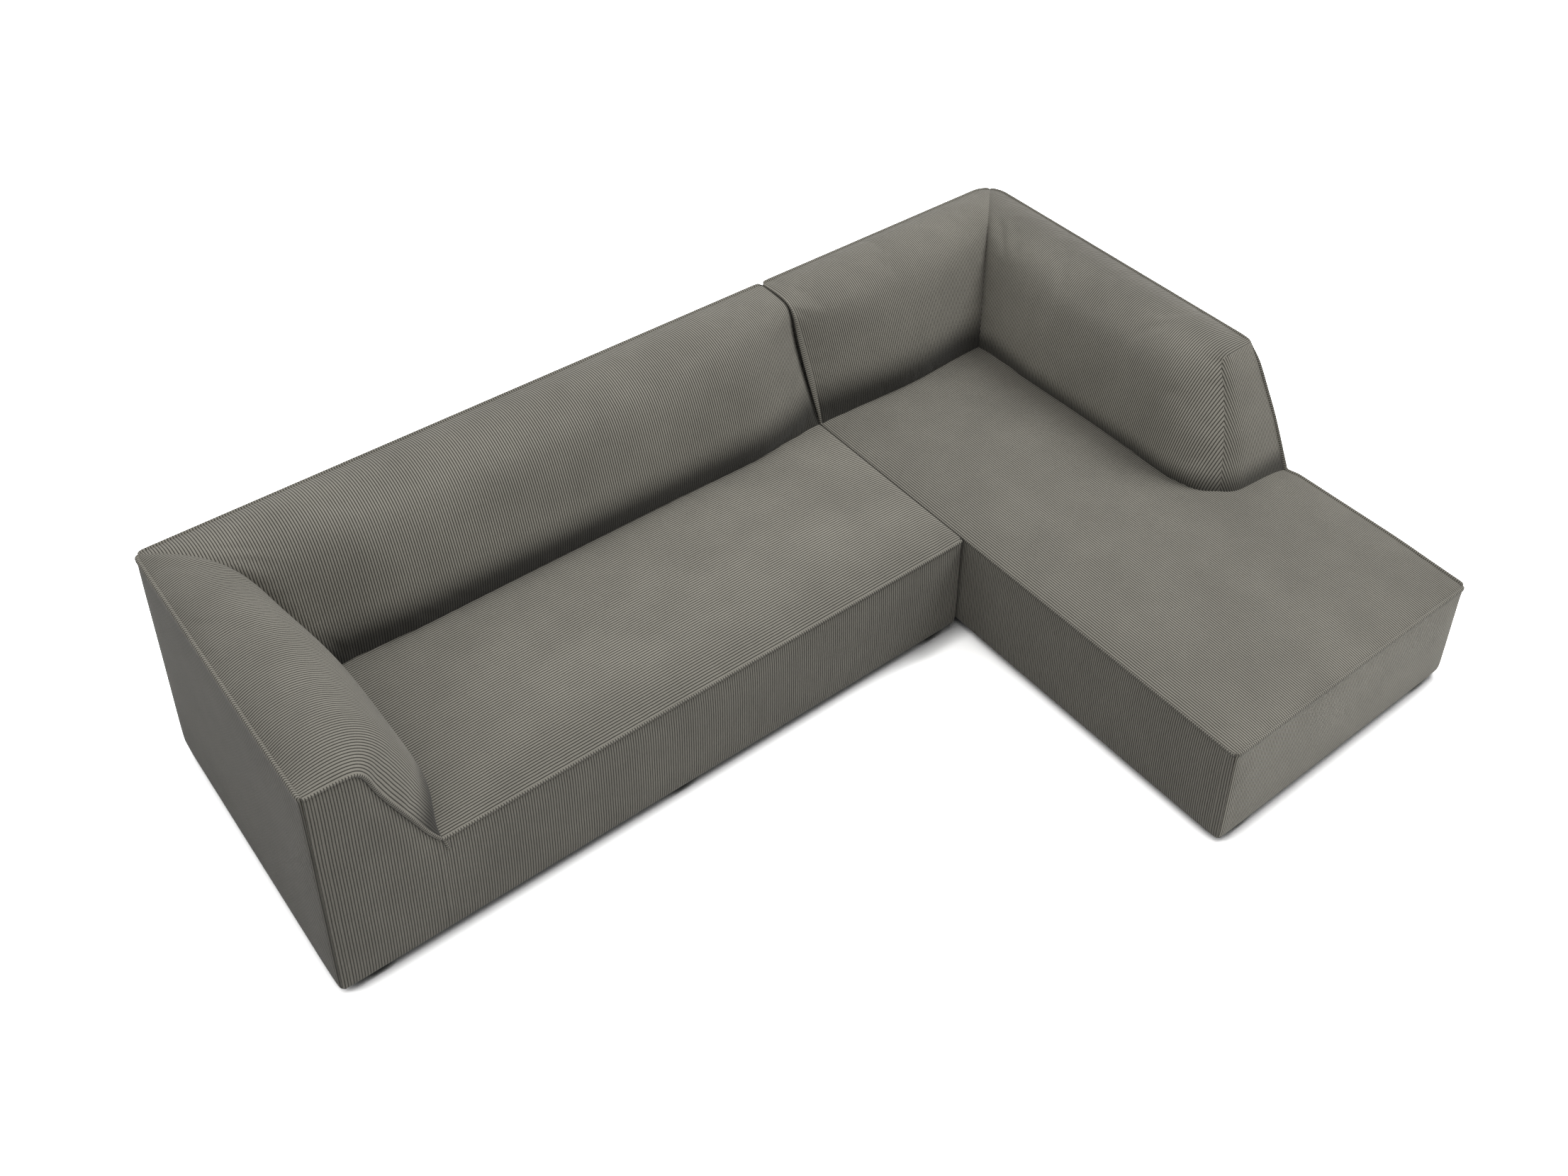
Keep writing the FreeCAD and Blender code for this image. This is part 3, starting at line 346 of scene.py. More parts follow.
def rounded(point, unit):
    """Draws a point in where an upright corner is rounded in plan, and where the two backs lean apart."""
    x, y, z = point
    h = (z - seat_top) / slope_height
    corners = list(upright_corners[unit])
    if unit == "chaise" and ridge_start < h:
        radius = ridge_radius * easing((h - ridge_start) / (1 - ridge_start))
        corners.append((right, front_line(min(h, 1.0)), radius, radius))
    for corner_x, corner_y, radius, top_radius in corners:
        radius += (top_radius - radius) * easing((z - frame_top) / (top_seam - frame_top))
        way_x = -1 if corner_x in (left, chaise_left) else 1
        way_y = 1 if corner_y == rear else -1
        centre_x, centre_y = corner_x - way_x * radius, corner_y - way_y * radius
        past_x, past_y = way_x * (x - centre_x), way_y * (y - centre_y)
        if past_x > 0 and past_y > 0 and max(past_x, past_y) < radius + beyond_corner:
            draw = max(past_x, past_y) / math.hypot(past_x, past_y)
            x, y = centre_x + way_x * past_x * draw, centre_y + way_y * past_y * draw
    if h > 0 and abs(x - split) < parting_width:
        lean = parting * math.sin(math.pi * min(h, 1.0)) * (1 - abs(x - split) / parting_width) ** 2
        x += lean if x > split else -lean
    return Vector((x, y, z))


for unit, parts in (("sofa", ("seat", "arm", "back")), ("chaise", ("seat", "back", "return", "return_end"))):
    for part in parts:
        block = copied_from(f"{unit}_{part}_foam", f"{unit}_{part}_block")
        shape(block, "REMESH", mode="VOXEL", voxel_size=0.012)
        shape(block, "SMOOTH", factor=0.5, iterations=5)
        for point in block.data.vertices:
            point.co = rounded(point.co, unit)
        bpy.ops.object.shade_smooth()
        finish_in(foam, block.name)
        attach(block, f"{unit}_unit")
        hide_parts(f"{unit}_{part}_foam")

# Corduroy: a woven cloth with raised cords of cut pile, about 6 to 7 mm apart. The cords are light on their
# crests and dark between them, partly the ground of the cloth and partly painted shade in the grooves, and
# the pile lies a little unevenly, which mottles large faces.
cloth, given = shade_group("corduroy", Position="Vector", Cords="Float", Stitches="Float", Nap="Float")
wander = maths(cloth, "MULTIPLY_ADD", noise(cloth, given["Position"], 2.6, 2.0), 0.7, -0.35)
saw = maths(cloth, "FRACT", maths(cloth, "ADD", given["Cords"], wander))
hill = maths(cloth, "ABSOLUTE", maths(cloth, "MULTIPLY_ADD", saw, 2.0, -1.0))
crest = maths(cloth, "SUBTRACT", 1.0, hill)
fuzz = noise(cloth, given["Position"], 700.0, 2.0, 0.7)
# The dark between the cords is partly the cloth's ground and partly painted shade in the grooves
pile = maths(cloth, "MULTIPLY_ADD", fuzz, 0.3, maths(cloth, "SUBTRACT", crest, 0.15))
pile = between(cloth, pile, 0.08, 0.62, interpolation_type="SMOOTHSTEP")
cloth_colour = two_colours(cloth, pile, (0.045, 0.0425, 0.0355, 1), (0.29, 0.276, 0.238, 1))
lie = between(cloth, noise(cloth, given["Position"], 5.0, 5.0, 0.6), 0.3, 0.7, 0.9, 1.08)
grain = between(cloth, fuzz, 0.3, 0.7, 0.86, 1.14)
sewn = maths(cloth, "MULTIPLY_ADD", given["Stitches"], -0.8, 1.0)
level = maths(cloth, "MULTIPLY", maths(cloth, "MULTIPLY", lie, grain), sewn)
# Painted light and shade: the colour is scaled by a level given on each point of the cloth
level = maths(cloth, "MULTIPLY", level, given["Nap"])
put_out(
    cloth,
    Color=step(cloth, "ShaderNodeVectorMath", "Vector", operation="SCALE", in_0=cloth_colour, in_3=level),
    Height=maths(cloth, "MULTIPLY_ADD", fuzz, 0.15, maths(cloth, "POWER", crest, 0.55)),
    Roughness=maths(cloth, "MULTIPLY_ADD", crest, -0.1, 0.95),
)
corduroy = dressed("grey_corduroy", cloth, 0.55, 0.0012)
tree = corduroy.node_tree
for socket in ("Cords", "Stitches", "Nap"):
    source = step(tree, "ShaderNodeAttribute", "Fac", attribute_name=socket.lower())
    tree.links.new(source, tree.nodes["finish"].inputs[socket])
surface = tree.nodes["Principled BSDF"]
surface.inputs["Specular IOR Level"].default_value = 0.2
surface.inputs["Sheen Weight"].default_value = 0.12
surface.inputs["Sheen Roughness"].default_value = 0.5

# Arm: foam over the timber uprights under one padded cover, sewn to the front, the side and the back's cover.
# The cover is cut so that its cords run over the arm.
sofa_pitch, chaise_pitch = 0.0067, 0.0061
cover_thickness = 0.006


def skin(name, grid, at, facing, cords_along, nap=1.0):
    """A sheet of cloth: a grid of (columns, rows) whose points at(u, v) lays out, with u and v from 0 to 1.
    The cords are counted along an axis, as (axis, pitch), or by a function of u, v and the point. It faces a
    direction, and its colour is scaled by the painted light and shade given for each point."""
    bpy.ops.mesh.primitive_grid_add(x_subdivisions=grid[0], y_subdivisions=grid[1], size=1)
    piece = bpy.context.object
    piece.name = name
    piece.data.name = name
    counts, sewn, painted_levels = [], [], []
    for point in piece.data.vertices:
        u, v = point.co.x + 0.5, point.co.y + 0.5
        spot = at(u, v)
        if callable(cords_along):
            count, stitch = cords_along(u, v, spot)
        else:
            count, stitch = spot[cords_along[0]] / cords_along[1], 0.0
        counts.append(count)
        sewn.append(stitch)
        painted_levels.append(nap(u, v) if callable(nap) else nap)
        point.co = rounded(spot, name.split("_")[0])
    for label, values in (("cords", counts), ("stitches", sewn), ("nap", painted_levels)):
        piece.data.attributes.new(label, "FLOAT", "POINT").data.foreach_set("value", values)
    piece.data.update()
    if sum((face.normal * face.area).dot(facing) for face in piece.data.polygons) < 0:
        piece.data.flip_normals()
    return piece


def settle(piece, grid, reach, pressure=3.0, spare=0.004):
    """The cloth swells over its padding between its sewn edges, by no more than reach."""
    mesh = piece.data
    start = np.empty(len(mesh.vertices) * 3)
    mesh.vertices.foreach_get("co", start)
    columns, rows = grid
    places = [(i % (columns + 1), i // (columns + 1)) for i in range(len(mesh.vertices))]
    edges = [i for i, (column, row) in enumerate(places) if column in (0, columns) or row in (0, rows)]
    piece.vertex_groups.new(name="sewn").add(edges, 1.0, "REPLACE")
    pick(piece)
    settings = piece.modifiers.new("cloth", "CLOTH").settings
    settings.quality = 5
    settings.mass = 0.3
    settings.tension_stiffness = 12
    settings.compression_stiffness = 12
    settings.shear_stiffness = 4
    settings.bending_stiffness = 0.6
    settings.vertex_group_mass = "sewn"
    settings.shrink_min = -spare
    settings.use_pressure = True
    settings.uniform_pressure_force = pressure
    settings.effector_weights.gravity = 0
    for moment in range(1, 21):
        bpy.context.scene.frame_set(moment)
    bpy.ops.object.modifier_apply(modifier="cloth")
    bpy.context.scene.frame_set(1)
    end = np.empty(len(start))
    mesh.vertices.foreach_get("co", end)
    shift = (end - start).reshape(-1, 3)
    length = np.maximum(np.linalg.norm(shift, axis=1, keepdims=True), 1e-9)
    shift *= np.tanh(length / reach) * reach / length
    mesh.vertices.foreach_set("co", (start.reshape(-1, 3) + shift).ravel())
    mesh.update()
    piece.vertex_groups.clear()


def sew_on(piece, thickness, *replaced):
    """Smooths the sheet, gives it its thickness inwards, and fixes it to its unit."""
    shape(piece, "SUBSURF", levels=1, render_levels=1, boundary_smooth="PRESERVE_CORNERS")
    shape(piece, "SOLIDIFY", thickness=thickness, offset=-1)
    bpy.ops.object.shade_smooth_by_angle(angle=math.radians(50))
    finish_in(corduroy, piece.name)
    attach(piece, piece.name.split("_")[0] + "_unit")
    if replaced:
        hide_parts(*replaced)


# Section of the arm, the backs and the return, from the outer seam over the top and down to the seat, as
# (distance from the outer seam, height above the seat) in millimetres. It is taut at its ends, and full
# between them.
taut = np.array([
    (0, 334), (40, 335), (85, 334), (113, 330), (130, 320), (144, 297),
    (158, 255), (179, 205), (206, 148), (232, 94), (258, 40), (282, -4),
]) / 1000
full = np.array([
    (0, 334), (33, 353), (80, 364), (125, 361), (166, 345), (202, 315),
    (233, 272), (258, 220), (280, 162), (299, 102), (313, 46), (298, -6),
]) / 1000
# How full a cover already is at its open end, over what distance it fills up, and how quickly
closed_end = (0.0, 0.17, 2.2)
# Towards the mitre seam a cover is less full, and it is creased and puckered beside the seam
mitre_fullness, mitre_length = 0.62, 0.28
crease_depth, crease_width = 0.006, 0.011
pucker_depth, pucker_width, pucker_waves = 0.001225, 0.05, 95


def along_points(points, u):
    """A smooth curve through the points, at u from 0 to 1."""
    place = u * (len(points) - 1)
    i = min(int(place), len(points) - 2)
    f = place - i
    a, b = points[i], points[i + 1]
    before, after = points[max(i - 1, 0)], points[min(i + 2, len(points) - 1)]
    square = (2 * before - 5 * a + 4 * b - after) * f * f
    cube = (3 * a - before - 3 * b + after) * f**3
    return 0.5 * (2 * a + ((b - before) * f + square + cube))


def section(v, from_end, from_mitre, opening=closed_end):
    """Distance from the outer seam and height. The cover is taut at its open end and creased at the mitre."""
    first, distance, power = opening
    filled = first + (1 - first) * (1 - (1 - min(from_end / distance, 1.0)) ** power)
    share = filled * (mitre_fullness + (1 - mitre_fullness) * easing(from_mitre / mitre_length))
    lower = along_points(taut, v)
    reach, height = lower + (along_points(full, v) - lower) * share
    crease = crease_depth * math.exp(-from_mitre / crease_width) * math.sin(math.pi * min(v * 1.15, 1.0))
    pucker = pucker_depth * math.exp(-from_mitre / pucker_width) * easing(from_mitre / 0.012)
    crease += pucker * math.sin(v * pucker_waves) * math.sin(math.pi * v)
    return reach - crease * (0.2 if v < 0.4 else 0.9), height - crease * (1 if v < 0.4 else 0.4)


def bolster(start, corner, at, opening=closed_end):
    """Lays out a cover: u runs from the open end to the mitre, v from the outer seam down to the seat."""
    way = 1 if corner > start else -1

    def place(u, v):
        length = abs(corner - start) - along_points(taut, v)[0]
        reach, height = section(v, u * length, (1 - u) * length, opening)
        return at(start + way * u * (abs(corner - start) - reach), reach, seat_top + height)

    return place


def crease_painted_shade(u, v):
    """Painted shade: the cloth's colour is darkened down into the crease above the seat, where shade falls.
    """
    return 1.04 - 0.84 * easing((v - 0.75) / 0.16)


# Painted shade: the arm's colour is a little darker all over, and darker still in the crease
def arm_painted_shade(u, v):
    return 0.93 * crease_painted_shade(u, v)


def beside_left(spot, reach, z):
    return Vector((left + reach, spot, z))


def before_rear(spot, reach, z):
    return Vector((spot, rear - reach, z))


arm_grid = (64, 44)
arm_at = bolster(sofa_front, rear, beside_left)
arm = skin("sofa_arm_pad", arm_grid, arm_at, (0.6, 0, 0.8), (1, sofa_pitch), arm_painted_shade)
settle(arm, arm_grid, reach=0.006)
sew_on(arm, cover_thickness, "sofa_arm_cover")

# Back of the long unit: a padded cover like the arm's over its own foam. It is sewn to the arm's in a mitre
# seam and rounded over at the split.
back_grid = (128, 44)
back_at = bolster(sofa_right, left, before_rear, (0.0, 0.26, 1.6))
back = skin("sofa_back_pad", back_grid, back_at, (0, -0.6, 0.8), (0, sofa_pitch), crease_painted_shade)
settle(back, back_grid, reach=0.007)
sew_on(back, cover_thickness, "sofa_back_cover")

# Back of the chaise unit: the same cover over its own foam, with a mitre seam to the return. It is a little
# fuller at the split than the long unit's, so its edge shows beside it.
end_share = 0.22
chaise_back_grid = (64, 44)
chaise_back_at = bolster(chaise_left, right, before_rear, (end_share, 0.35, 1.5))
chaise_back = skin(
    "chaise_back_pad", chaise_back_grid, chaise_back_at, (0, -0.6, 0.8), (0, chaise_pitch), crease_painted_shade,
)
settle(chaise_back, chaise_back_grid, reach=0.006)
sew_on(chaise_back, cover_thickness, "chaise_back_cover")

# Seats: padded covers over foam blocks, crowned mid seat and drawn down under the arm, the backs and the
# return. The chaise's cover swells a little over its right side.
seat_thickness, seat_crown = 0.007, 0.02
seat_tuck = 0.262
sofa_seat_pitch, chaise_seat_pitch = 0.0071, 0.0064


def seat_at(x0, x1, y0):
    def place(u, v):
        rise = [1 - (1 - min(2 * w, 2 - 2 * w)) ** 3 for w in (u, v)]
        y = y0 + (rear - seat_tuck - y0) * v
        return Vector((x0 + (x1 - x0) * u, y, seat_top + seat_crown * rise[0] * rise[1]))

    return place


# Painted shade: the seat's colour is darker along its edges beside the arm, at the front and beside the back
def seat_painted_shade(u, v):
    return 0.92 + 0.2 * min(easing(u / 0.25), easing(v / 0.3), easing((1 - v) / 0.15))


seat_grid = (110, 46)
sofa_seat_at = seat_at(left + seat_tuck, sofa_right, sofa_front)
seat = skin("sofa_seat_pad", seat_grid, sofa_seat_at, (0, 0, 1), (1, sofa_seat_pitch), seat_painted_shade)
settle(seat, seat_grid, reach=0.005, pressure=2.0, spare=0.006)
sew_on(seat, seat_thickness, "sofa_seat_cover")


def over_the_side(y):
    """How far the chaise's seat swells over its right side, between the front corner and the return."""
    return 0.008 * easing((y - chaise_front) / 0.25) * easing((ridge - 0.19 - y) / 0.03)


def chaise_seat_at(u, v):
    spot = seat_at(chaise_left, right, chaise_front)(u, v)
    spot.x += over_the_side(spot.y) * u**6
    return spot


# Painted shade: the chaise seat's colour is darker towards its right side
def chaise_seat_painted_shade(u, v):
    return 0.97 - 0.09 * easing((u - 0.5) / 0.4)


chaise_seat_grid = (66, 110)
chaise_seat = skin(
    "chaise_seat_pad", chaise_seat_grid, chaise_seat_at, (0, 0, 1), (0, chaise_seat_pitch), chaise_seat_painted_shade,
)
settle(chaise_seat, chaise_seat_grid, reach=0.005, pressure=2.0, spare=0.006)
sew_on(chaise_seat, seat_thickness, "chaise_seat_cover")

# Return: the short side back of the chaise. Its cover ends in front at the ridge, and at a mitre seam down
# the rounded corner, where it meets the leaning end. The corner is wider at its foot than at the ridge.
foot_corner, ridge_corner = 0.095, 0.040
mitre_reach = 0.131
# An eighth of a turn round the corner goes inwards by this share of its radius
eighth_turn = 0.2929


def slope_share(height):
    return min(max(height / slope_height, 0.0), 1.0)


def corner_radius(h):
    return foot_corner * (1 - h) + ridge_corner * h


def turned(y, height):
    """How far the rounded front corner draws the inner face in, at a place along Y and a height."""
    h = slope_share(height)
    radius = corner_radius(h)
    past = min(max(front_line(h) + radius - y, 0.0), radius)
    return radius - math.sqrt(radius * radius - past * past)


def return_edge(v):
    """Where the cover ends along Y at a place of the section, and how far the corner draws that end in. At
    the full bend, the seam runs down the middle of the corner, an eighth of a turn round."""
    reach, height = along_points(taut, v)
    h = slope_share(height)
    radius = corner_radius(h)
    bend = min(max((reach - mitre_reach) / radius + 1, 0.0), 1.0)
    end = front_line(h) + radius * (1 - math.sqrt(1 - 0.5 * bend * bend))
    return end, eighth_turn * radius * bend


def return_at(u, v):
    lower = along_points(taut, v)
    end, drawn = return_edge(v)
    length = rear - lower[0] - end
    reach, height = section(v, length * u, length * (1 - u))
    y = end + (rear - reach - end) * u
    return Vector((right - reach + min(turned(y, lower[1]), drawn), y, seat_top + height))


# Painted light and shade: the return's colour is darker near its outer seam, lighter down its inner face, and
# darker in the crease above the seat
def return_painted_light(u, v):
    return (0.86 + 0.38 * easing((v - 0.18) / 0.25)) * (1 - 0.7 * easing((v - 0.84) / 0.1))


return_grid = (72, 44)
side_back = skin(
    "chaise_return_pad", return_grid, return_at, (-0.6, 0, 0.8), (1, chaise_pitch), return_painted_light,
)
settle(side_back, return_grid, reach=0.006)
sew_on(side_back, cover_thickness, "chaise_return_cover")

# Return's end: a leaning padded face, from the mitre seam round the corner to the outer seam. Its upper edge
# is sewn to the end of the return's cover, in a curve.
mitre_top = 0.365
end_swell = 0.006


def leaning(u, v):
    reach, height = along_points(taut, mitre_top + (1 - mitre_top) * v)
    h = slope_share(height)
    radius = corner_radius(h)
    straight = max(reach - radius, 0.0)
    bend = radius * math.pi / 4
    run = u * (bend + straight)
    bulge = end_swell * math.sin(math.pi * u) * math.sin(math.pi * v)
    if run < bend:
        angle = math.pi / 4 + run / radius
        spot = reach - radius + radius * math.cos(angle)
        y = front_line(h) + radius - radius * math.sin(angle)
    else:
        spot = straight - (run - bend)
        y = front_line(h)
    return Vector((right - spot - bulge * 0.2, y - bulge, seat_top + height + bulge * 0.5))


def end_at(u, v):
    share = mitre_top * (1 - u)
    (reach, height), (y, drawn) = along_points(taut, share), return_edge(share)
    seam = Vector((right - reach + drawn, y, seat_top + height))
    return leaning(u, v) + (seam - leaning(u, 0.0)) * (1 - easing(v / 0.3))


# Painted light and shade: the end's colour is lifted, and darkened down towards the seat in the crease
def end_painted_light(u, v):
    return 1.12 * (1 - 0.7 * easing((v - 0.748) / 0.157))


end_pad = skin("chaise_return_end_pad", (20, 36), end_at, (0, -0.8, 0.6), (0, chaise_pitch), end_painted_light)
sew_on(end_pad, cover_thickness, "chaise_return_end_cover")

# Panels: padded cloth stapled under the rails. Their upper edge is folded into a raised, topstitched ridge,
# over which the cords run. The row of stitches is below the ridge, or on top beside the pad that it meets.

# Rows of the ridge as (outwards, upwards) from the seam, in millimetres
groove_below = [
    (-2.0, -1.5), (0.6, 1.4), (3.2, 1.4), (4.6, -1.2), (4.3, -4.6), (2.4, -7.4),
    (-1.6, -8.8), (0.2, -10.6), (1.2, -14),
]
groove_on_top = [
    (-6.5, -2.5), (-4.8, 1.8), (-2.2, 4.8), (1.2, 6.0), (4.4, 4.8), (6.2, 1.4),
    (6.2, -3.2), (4.4, -8.5), (2.6, -14),
]
at_corner = [
    (-4.5, -2.0), (-2.8, 1.6), (-0.8, 3.6), (1.8, 3.4), (3.4, 1.0), (3.6, -3.4),
    (1.6, -7.6), (1.4, -10.6), (1.6, -14),
]
ridge_rows_across = 6
# Rows that roll under the frame, as (outwards in millimetres, share of the height of the roll)
foot_roll = [(-1.0, 0.5), (-3.6, 0.22), (-8.0, 0.06), (-13.0, 0.0)]
hem, roll_height = 0.015, 0.03
panel_thickness = 0.004
padding_width, rows_down = 0.09, 12
# Distances of the first columns from a panel's end, in metres, where it is tucked in beside its neighbour
corner_steps = [0.0, 0.0006, 0.0016, 0.0032, 0.0055, 0.0085, 0.0125, 0.018, 0.026]
tuck_depth, tuck_width, meeting_width = 0.0022, 0.003, 0.006
# The edge's direction is taken over this share of it to each side
edge_step = 0.005
# The hem is drawn up at the corners, by this much, over this width and height
hem_lift, lift_width, lift_height = 0.012, 0.024, 0.06


def panel(
    name, edge, ends, face, facing, columns, pitch, ridge_rows, replaced,
    crown=0.006, bead=1.0, nap=1.0, ridge_painted_light=1.0,
):
    """edge(share) gives (place along the panel, height) of the upper edge, and face(place, height, outwards)
    a point. The ends are where it meets its neighbours. Columns crowd together towards both ends."""
    shares = np.linspace(0, 1, 401)
    line = [edge(share) for share in shares]
    runs = np.concatenate([[0], np.cumsum([math.dist(a, b) for a, b in zip(line, line[1:])])])
    lowest = min(range(len(line)), key=lambda i: line[i][1])
    near = np.interp(corner_steps, runs, shares)
    far = np.interp(runs[-1] - np.array(corner_steps[::-1]), runs, shares)
    inner = [k / columns for k in range(columns + 1)]
    inner = [share for share in inner if near[-1] + 0.4 / columns < share < far[0] - 0.4 / columns]
    stations = [*near, *inner, *far]
    falls = np.linspace(0, 1, rows_down + 1)[1:]
    rows = len(ridge_rows) + len(falls) + len(foot_roll) - 1
    stitched_row = ridge_rows_across if ridge_rows is groove_below else 0

    def station_and_row(u, v):
        return stations[round(u * (len(stations) - 1))], round((1 - v) * rows)

    def at(u, v):
        share, row = station_and_row(u, v)
        a, z = edge(share)
        (a0, z0), (a1, z1) = edge(max(share - edge_step, 0.0)), edge(min(share + edge_step, 1.0))
        length = math.dist((a0, z0), (a1, z1))
        along, rise = (a1 - a0) / length, (z1 - z0) / length
        at_start, at_end = a - ends[0], ends[1] - a
        from_side = max(min(at_start, at_end), 0.0)
        tuck = tuck_depth * math.exp(-from_side / tuck_width)
        meet = math.exp(-from_side / meeting_width)
        on_ridge = min(row, len(ridge_rows) - 1)
        (out, up), (corner_out, corner_up) = ridge_rows[on_ridge], at_corner[on_ridge]
        out = (out + (corner_out - out) * meet) * bead / 1000
        up = (up + (corner_up - up) * meet) / 1000
        a += (tuck if at_start < at_end else -tuck) - rise * up
        top = z + along * up
        if row < len(ridge_rows):
            return face(a, top, out - tuck)
        low = hem + roll_height
        fall = row - len(ridge_rows)
        if fall < len(falls):
            z = top + (low - top) * falls[fall]
            inwards = 0.0012 * (1 - falls[fall]) ** 4
        else:
            inwards, height = foot_roll[fall - len(falls)]
            z = hem + (low - hem) * height
            inwards /= 1000
        side = 1 - (1 - min(from_side / padding_width, 1.0)) ** 2
        soft = 1 - (1 - min(max(min(top - z, z - hem), 0) / padding_width, 1.0)) ** 2
        swell = crown(a) if callable(crown) else crown
        lift = hem_lift * (1 - math.sqrt(1 - (1 - min(from_side / lift_width, 1.0)) ** 2))
        z += lift * max(0.0, 1 - (z - hem) / lift_height)
        return face(a, z, inwards + swell * side * soft - tuck)

    def count(u, v, spot):
        share, row = station_and_row(u, v)
        stitch = 1.0 if row == stitched_row else 0.0
        if row < ridge_rows_across:
            return (line[lowest][0] + float(np.interp(share, shares, runs)) - runs[lowest]) / pitch, stitch
        return spot[0 if abs(facing[1]) > 0.5 else 1] / pitch, stitch

    # Painted light and shade: the colour of the ridge rows and of the face below them is scaled by the two
    # given levels
    def painted_light_at(u, v):
        return ridge_painted_light + (nap - ridge_painted_light) * easing((station_and_row(u, v)[1] - 4) / 4)

    cloth_grid = (len(stations) - 1, rows)
    sew_on(skin(name, cloth_grid, at, facing, count, painted_light_at), panel_thickness, replaced)


def bent_edge(parts, shares):
    """An edge in parts, each reached at its share of the way: straight between two points, else smooth."""

    def edge(share):
        for (start, end), part in zip(zip(shares, shares[1:]), parts):
            if share <= end + 1e-9:
                f = (share - start) / (end - start)
                if len(part) == 2:
                    return tuple(part[0][i] + (part[1][i] - part[0][i]) * f for i in (0, 1))
                return tuple(along_points(np.array(part), f))
        return parts[-1][-1]

    return edge


def level_edge(a, b, z):
    return bent_edge([[(a, z), (b, z)]], [0, 1])


def facing_front(plane):
    return lambda a, z, out: Vector((a, plane - out, z))


def facing_rear(a, z, out):
    return Vector((a, rear + out, z))


def facing_left(plane):
    return lambda a, z, out: Vector((plane - out, a, z))


def facing_right(plane):
    return lambda a, z, out: Vector((plane + out, a, z))


# The sloping seams follow the section from the outer seam down to its foot at the seat
section_foot = 0.283
arm_foot, back_foot = (left + section_foot, seat_top), (rear - section_foot, seat_top)


def up_from(foot, points):
    return [foot] + [(rear - reach, seat_top + height) for reach, height in points[-2::-1]]


down_the_arm = [(left + reach, seat_top + height) for reach, height in taut[:-1]] + [arm_foot]
panel(
    "sofa_front_panel", bent_edge([down_the_arm, [arm_foot, (sofa_right, seat_top)]], [0, 0.3, 1]),
    (left, sofa_right), facing_front(sofa_front), (0, -1, 0), 180, sofa_pitch, groove_below,
    "sofa_front_cover",
)
# Painted shade: the left panel's colour is darkened, as it faces away from the lamp
panel(
    "sofa_left_panel", level_edge(sofa_front, rear, top_seam), (sofa_front, rear), facing_left(left),
    (-1, 0, 0), 72, sofa_pitch, groove_on_top, "sofa_left_cover", nap=0.58,
)
panel(
    "sofa_rear_panel", level_edge(left, sofa_right, top_seam), (left, sofa_right), facing_rear,
    (0, 1, 0), 120, sofa_pitch, groove_on_top, "sofa_rear_cover",
)
# Painted shade: the ridge of the split panel is darkened, as a dark line in the gap between the two units
panel(
    "sofa_split_panel",
    bent_edge([[(sofa_front, seat_top), back_foot], up_from(back_foot, taut)], [0, 0.5, 1]),
    (sofa_front, rear), facing_right(sofa_right), (1, 0, 0), 90, sofa_pitch, groove_below,
    "sofa_right_cover", crown=0.0, bead=0.3, ridge_painted_light=0.3,
)

# Panels of the chaise unit, sewn and stapled in the same way. The front one's colour is made lighter, as
# painted light.
half_full = taut + (full - taut) * end_share
panel(
    "chaise_split_panel",
    bent_edge([[(chaise_front, seat_top), back_foot], up_from(back_foot, half_full)], [0, 0.7, 1]),
    (chaise_front, rear), facing_left(chaise_left), (-1, 0, 0), 150, chaise_pitch, groove_below,
    "chaise_left_cover", crown=lambda place: 0.007 * (1 - easing((place + 0.16) / 0.14)), bead=0.85,
)
panel(
    "chaise_front_panel", level_edge(chaise_left, right, seat_top), (chaise_left, right),
    facing_front(chaise_front), (0, -1, 0), 72, chaise_pitch, groove_on_top, "chaise_front_cover", nap=1.68,
)
panel(
    "chaise_rear_panel", level_edge(chaise_left, right, top_seam), (chaise_left, right), facing_rear,
    (0, 1, 0), 72, chaise_pitch, groove_on_top, "chaise_rear_cover",
)


def swollen_right(a, z, out):
    return Vector((right + out + over_the_side(a) * easing((z - 0.1) / 0.2), a, z))


up_the_slope = [(front_line(h), seat_top + slope_height * h) for h in (0, 0.16, 0.32, 0.48, 0.64, 0.8, 0.94)]
up_the_slope += [(ridge + 0.01, top_seam - 0.004), (ridge + 0.045, top_seam)]
right_edge = [[(chaise_front, seat_top), up_the_slope[0]], up_the_slope, [up_the_slope[-1], (rear, top_seam)]]
panel(
    "chaise_right_panel", bent_edge(right_edge, [0, 0.3, 0.55, 1]), (chaise_front, rear), swollen_right,
    (1, 0, 0), 150, chaise_pitch, groove_on_top, "chaise_right_cover",
)

# Darts: where a sloping seam comes down to the seat, its sewn ridge runs on down the panel for a short way.
# There is one on the front, below the arm, and one on the right, below the return.
dart_length, dart_width, dart_height = 0.034, 0.012, 0.0042


def dart(name, foot, face, facing):
    """A narrow ridge that starts at the foot of the slope and sinks into the panel."""

    def at(u, v):
        down = dart_length * (1 - v)
        panel_out = 0.006 * (1 - (1 - min((down + 0.008) / padding_width, 1.0)) ** 2)
        ridge_out = dart_height * math.sin(math.pi * u) ** 0.7 * min(1.0, 5 * v + 0.2) - 0.0012
        along = foot + (u - 0.5) * dart_width + 0.2 * down
        return face(along, seat_top - 0.006 - down, panel_out + ridge_out)

    def count(u, v, spot):
        return spot.z / sofa_pitch, 0.7 if abs(u - 0.5) > 0.36 else 0.0

    sew_on(skin(name, (8, 12), at, facing, count), 0.003)


dart("sofa_front_dart", arm_foot[0] + 0.002, facing_front(sofa_front), (0, -1, 0))
dart("chaise_right_dart", front_line(0) - 0.002, swollen_right, (1, 0, 0))

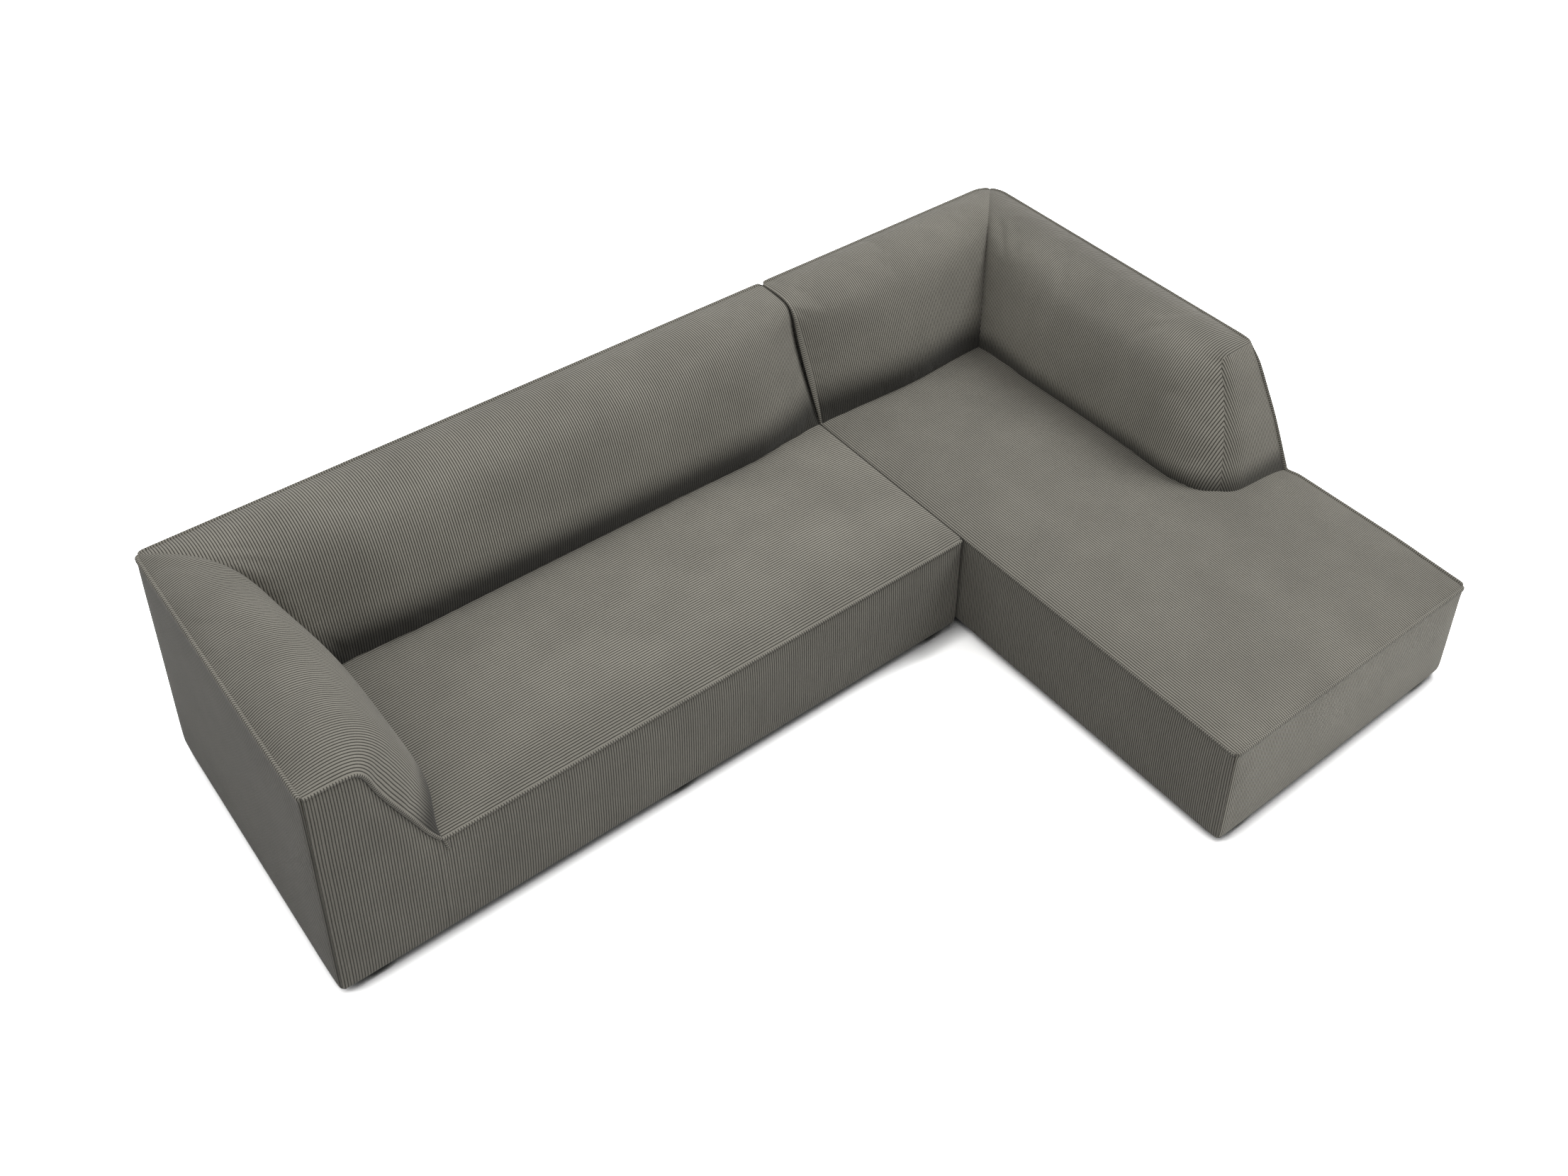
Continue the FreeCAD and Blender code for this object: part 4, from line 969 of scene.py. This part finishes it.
# Dust covers: thin black spunbond lining, stapled flat below the rails of each unit, a little in from their
# outer faces. It sags slightly between them.
lining = dressed(
    "black_lining", pressed_fibres, 0.4, 0.0004,
    Pale=(0.035, 0.035, 0.036, 1), Dark=(0.012, 0.012, 0.013, 1), Fineness=1200.0,
)
staple_margin = 0.005
for unit in ("sofa", "chaise"):
    (x0, y0, _), (x1, y1, _) = frame_box(f"{unit}_dust_cover")
    x0, y0, x1, y1 = x0 + staple_margin, y0 + staple_margin, x1 - staple_margin, y1 - staple_margin
    bpy.ops.mesh.primitive_grid_add(x_subdivisions=48, y_subdivisions=48, size=1)
    sheet = bpy.context.object
    sheet.name = f"{unit}_lining"
    sheet.data.name = sheet.name
    for point in sheet.data.vertices:
        u, v = point.co.x + 0.5, point.co.y + 0.5
        sag = 0.0035 * math.sin(math.pi * u) * math.sin(math.pi * v) * (0.8 + 0.2 * math.sin(9 * u + 7 * v))
        point.co = (x0 + (x1 - x0) * u, y0 + (y1 - y0) * v, floor_gap + 0.0015 - sag)
    shape(sheet, "SOLIDIFY", thickness=0.0008, offset=0)
    bpy.ops.object.shade_smooth_by_angle(angle=math.radians(50))
    finish_in(lining, sheet.name)
    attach(sheet, f"{unit}_unit")
    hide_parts(f"{unit}_dust_cover")

# Floor and light: a white ground, a pale sky all round, and one large soft lamp far off on the right. Seen
# directly, the ground is white, with a painted contact shadow in front of the sofa, darkened into its colour
# by ambient occlusion. Its bounce is dimmer, as over a grey studio floor.


def seen_directly(tree):
    """1 on rays from the camera and those that metal and glass send on, and 0 on those that light things."""
    rays = tree.nodes.new("ShaderNodeLightPath").outputs
    seen = maths(tree, "MAXIMUM", rays["Is Camera Ray"], rays["Is Glossy Ray"])
    return maths(tree, "MAXIMUM", seen, rays["Is Transmission Ray"])


bpy.ops.mesh.primitive_plane_add(size=60, location=(0, 0, 0))
floor = bpy.context.object
floor.name = "floor"
ground = bpy.data.materials.new("floor")
ground.use_nodes = True
tree = ground.node_tree
surface = tree.nodes["Principled BSDF"]
surface.inputs["Roughness"].default_value = 1.0
surface.inputs["Specular IOR Level"].default_value = 0.0
surface.inputs["Base Color"].default_value = (0.3, 0.3, 0.3, 1)
# Painted shadow: seen directly, the ground's colour darkens close to the sofa by ambient occlusion, looked
# for upwards, towards the back and the left, so that it lies in front of the sofa and not beside its left
# side
away = step(tree, "ShaderNodeCombineXYZ", in_0=-0.6, in_1=0.55, in_2=0.58)
near = step(tree, "ShaderNodeAmbientOcclusion", "AO", in_1=0.06, in_2=away, samples=16)
near = between(tree, near, 0.42, 1.0, 0.05, 3.6, interpolation_type="SMOOTHSTEP")
near = step(tree, "ShaderNodeCombineXYZ", in_0=near, in_1=near, in_2=near)
white_and_painted_shadow = step(tree, "ShaderNodeBsdfDiffuse", in_0=near)
mixed = step(tree, "ShaderNodeMixShader", in_0=seen_directly(tree), in_1=surface.outputs[0], in_2=white_and_painted_shadow)
tree.links.new(mixed, tree.nodes["Material Output"].inputs["Surface"])
finish_in(ground, floor.name)

sky = bpy.data.worlds.new("sky")
bpy.context.scene.world = sky
sky.use_nodes = True
tree = sky.node_tree
pale = tree.nodes["Background"]
up = step(tree, "ShaderNodeSeparateXYZ", "Z", in_0=step(tree, "ShaderNodeTexCoord", "Generated"))
up = between(tree, up, 0.0, 1.0, 0.28, 0.85)
tree.links.new(maths(tree, "MAXIMUM", seen_directly(tree), up), pale.inputs["Strength"])
pale.inputs["Color"].default_value = (1, 1, 1, 1)

bpy.ops.object.light_add(type="AREA", location=(8.8, -1.8, 11.5))
lamp = bpy.context.object
lamp.name = "large_soft_lamp"
lamp.data.shape = "DISK"
lamp.data.size = 7.0
lamp.data.energy = 950
lamp.rotation_mode = "QUATERNION"
lamp.rotation_quaternion = (Vector((0.1, 0.1, 0.3)) - lamp.location).to_track_quat("-Z", "Y")
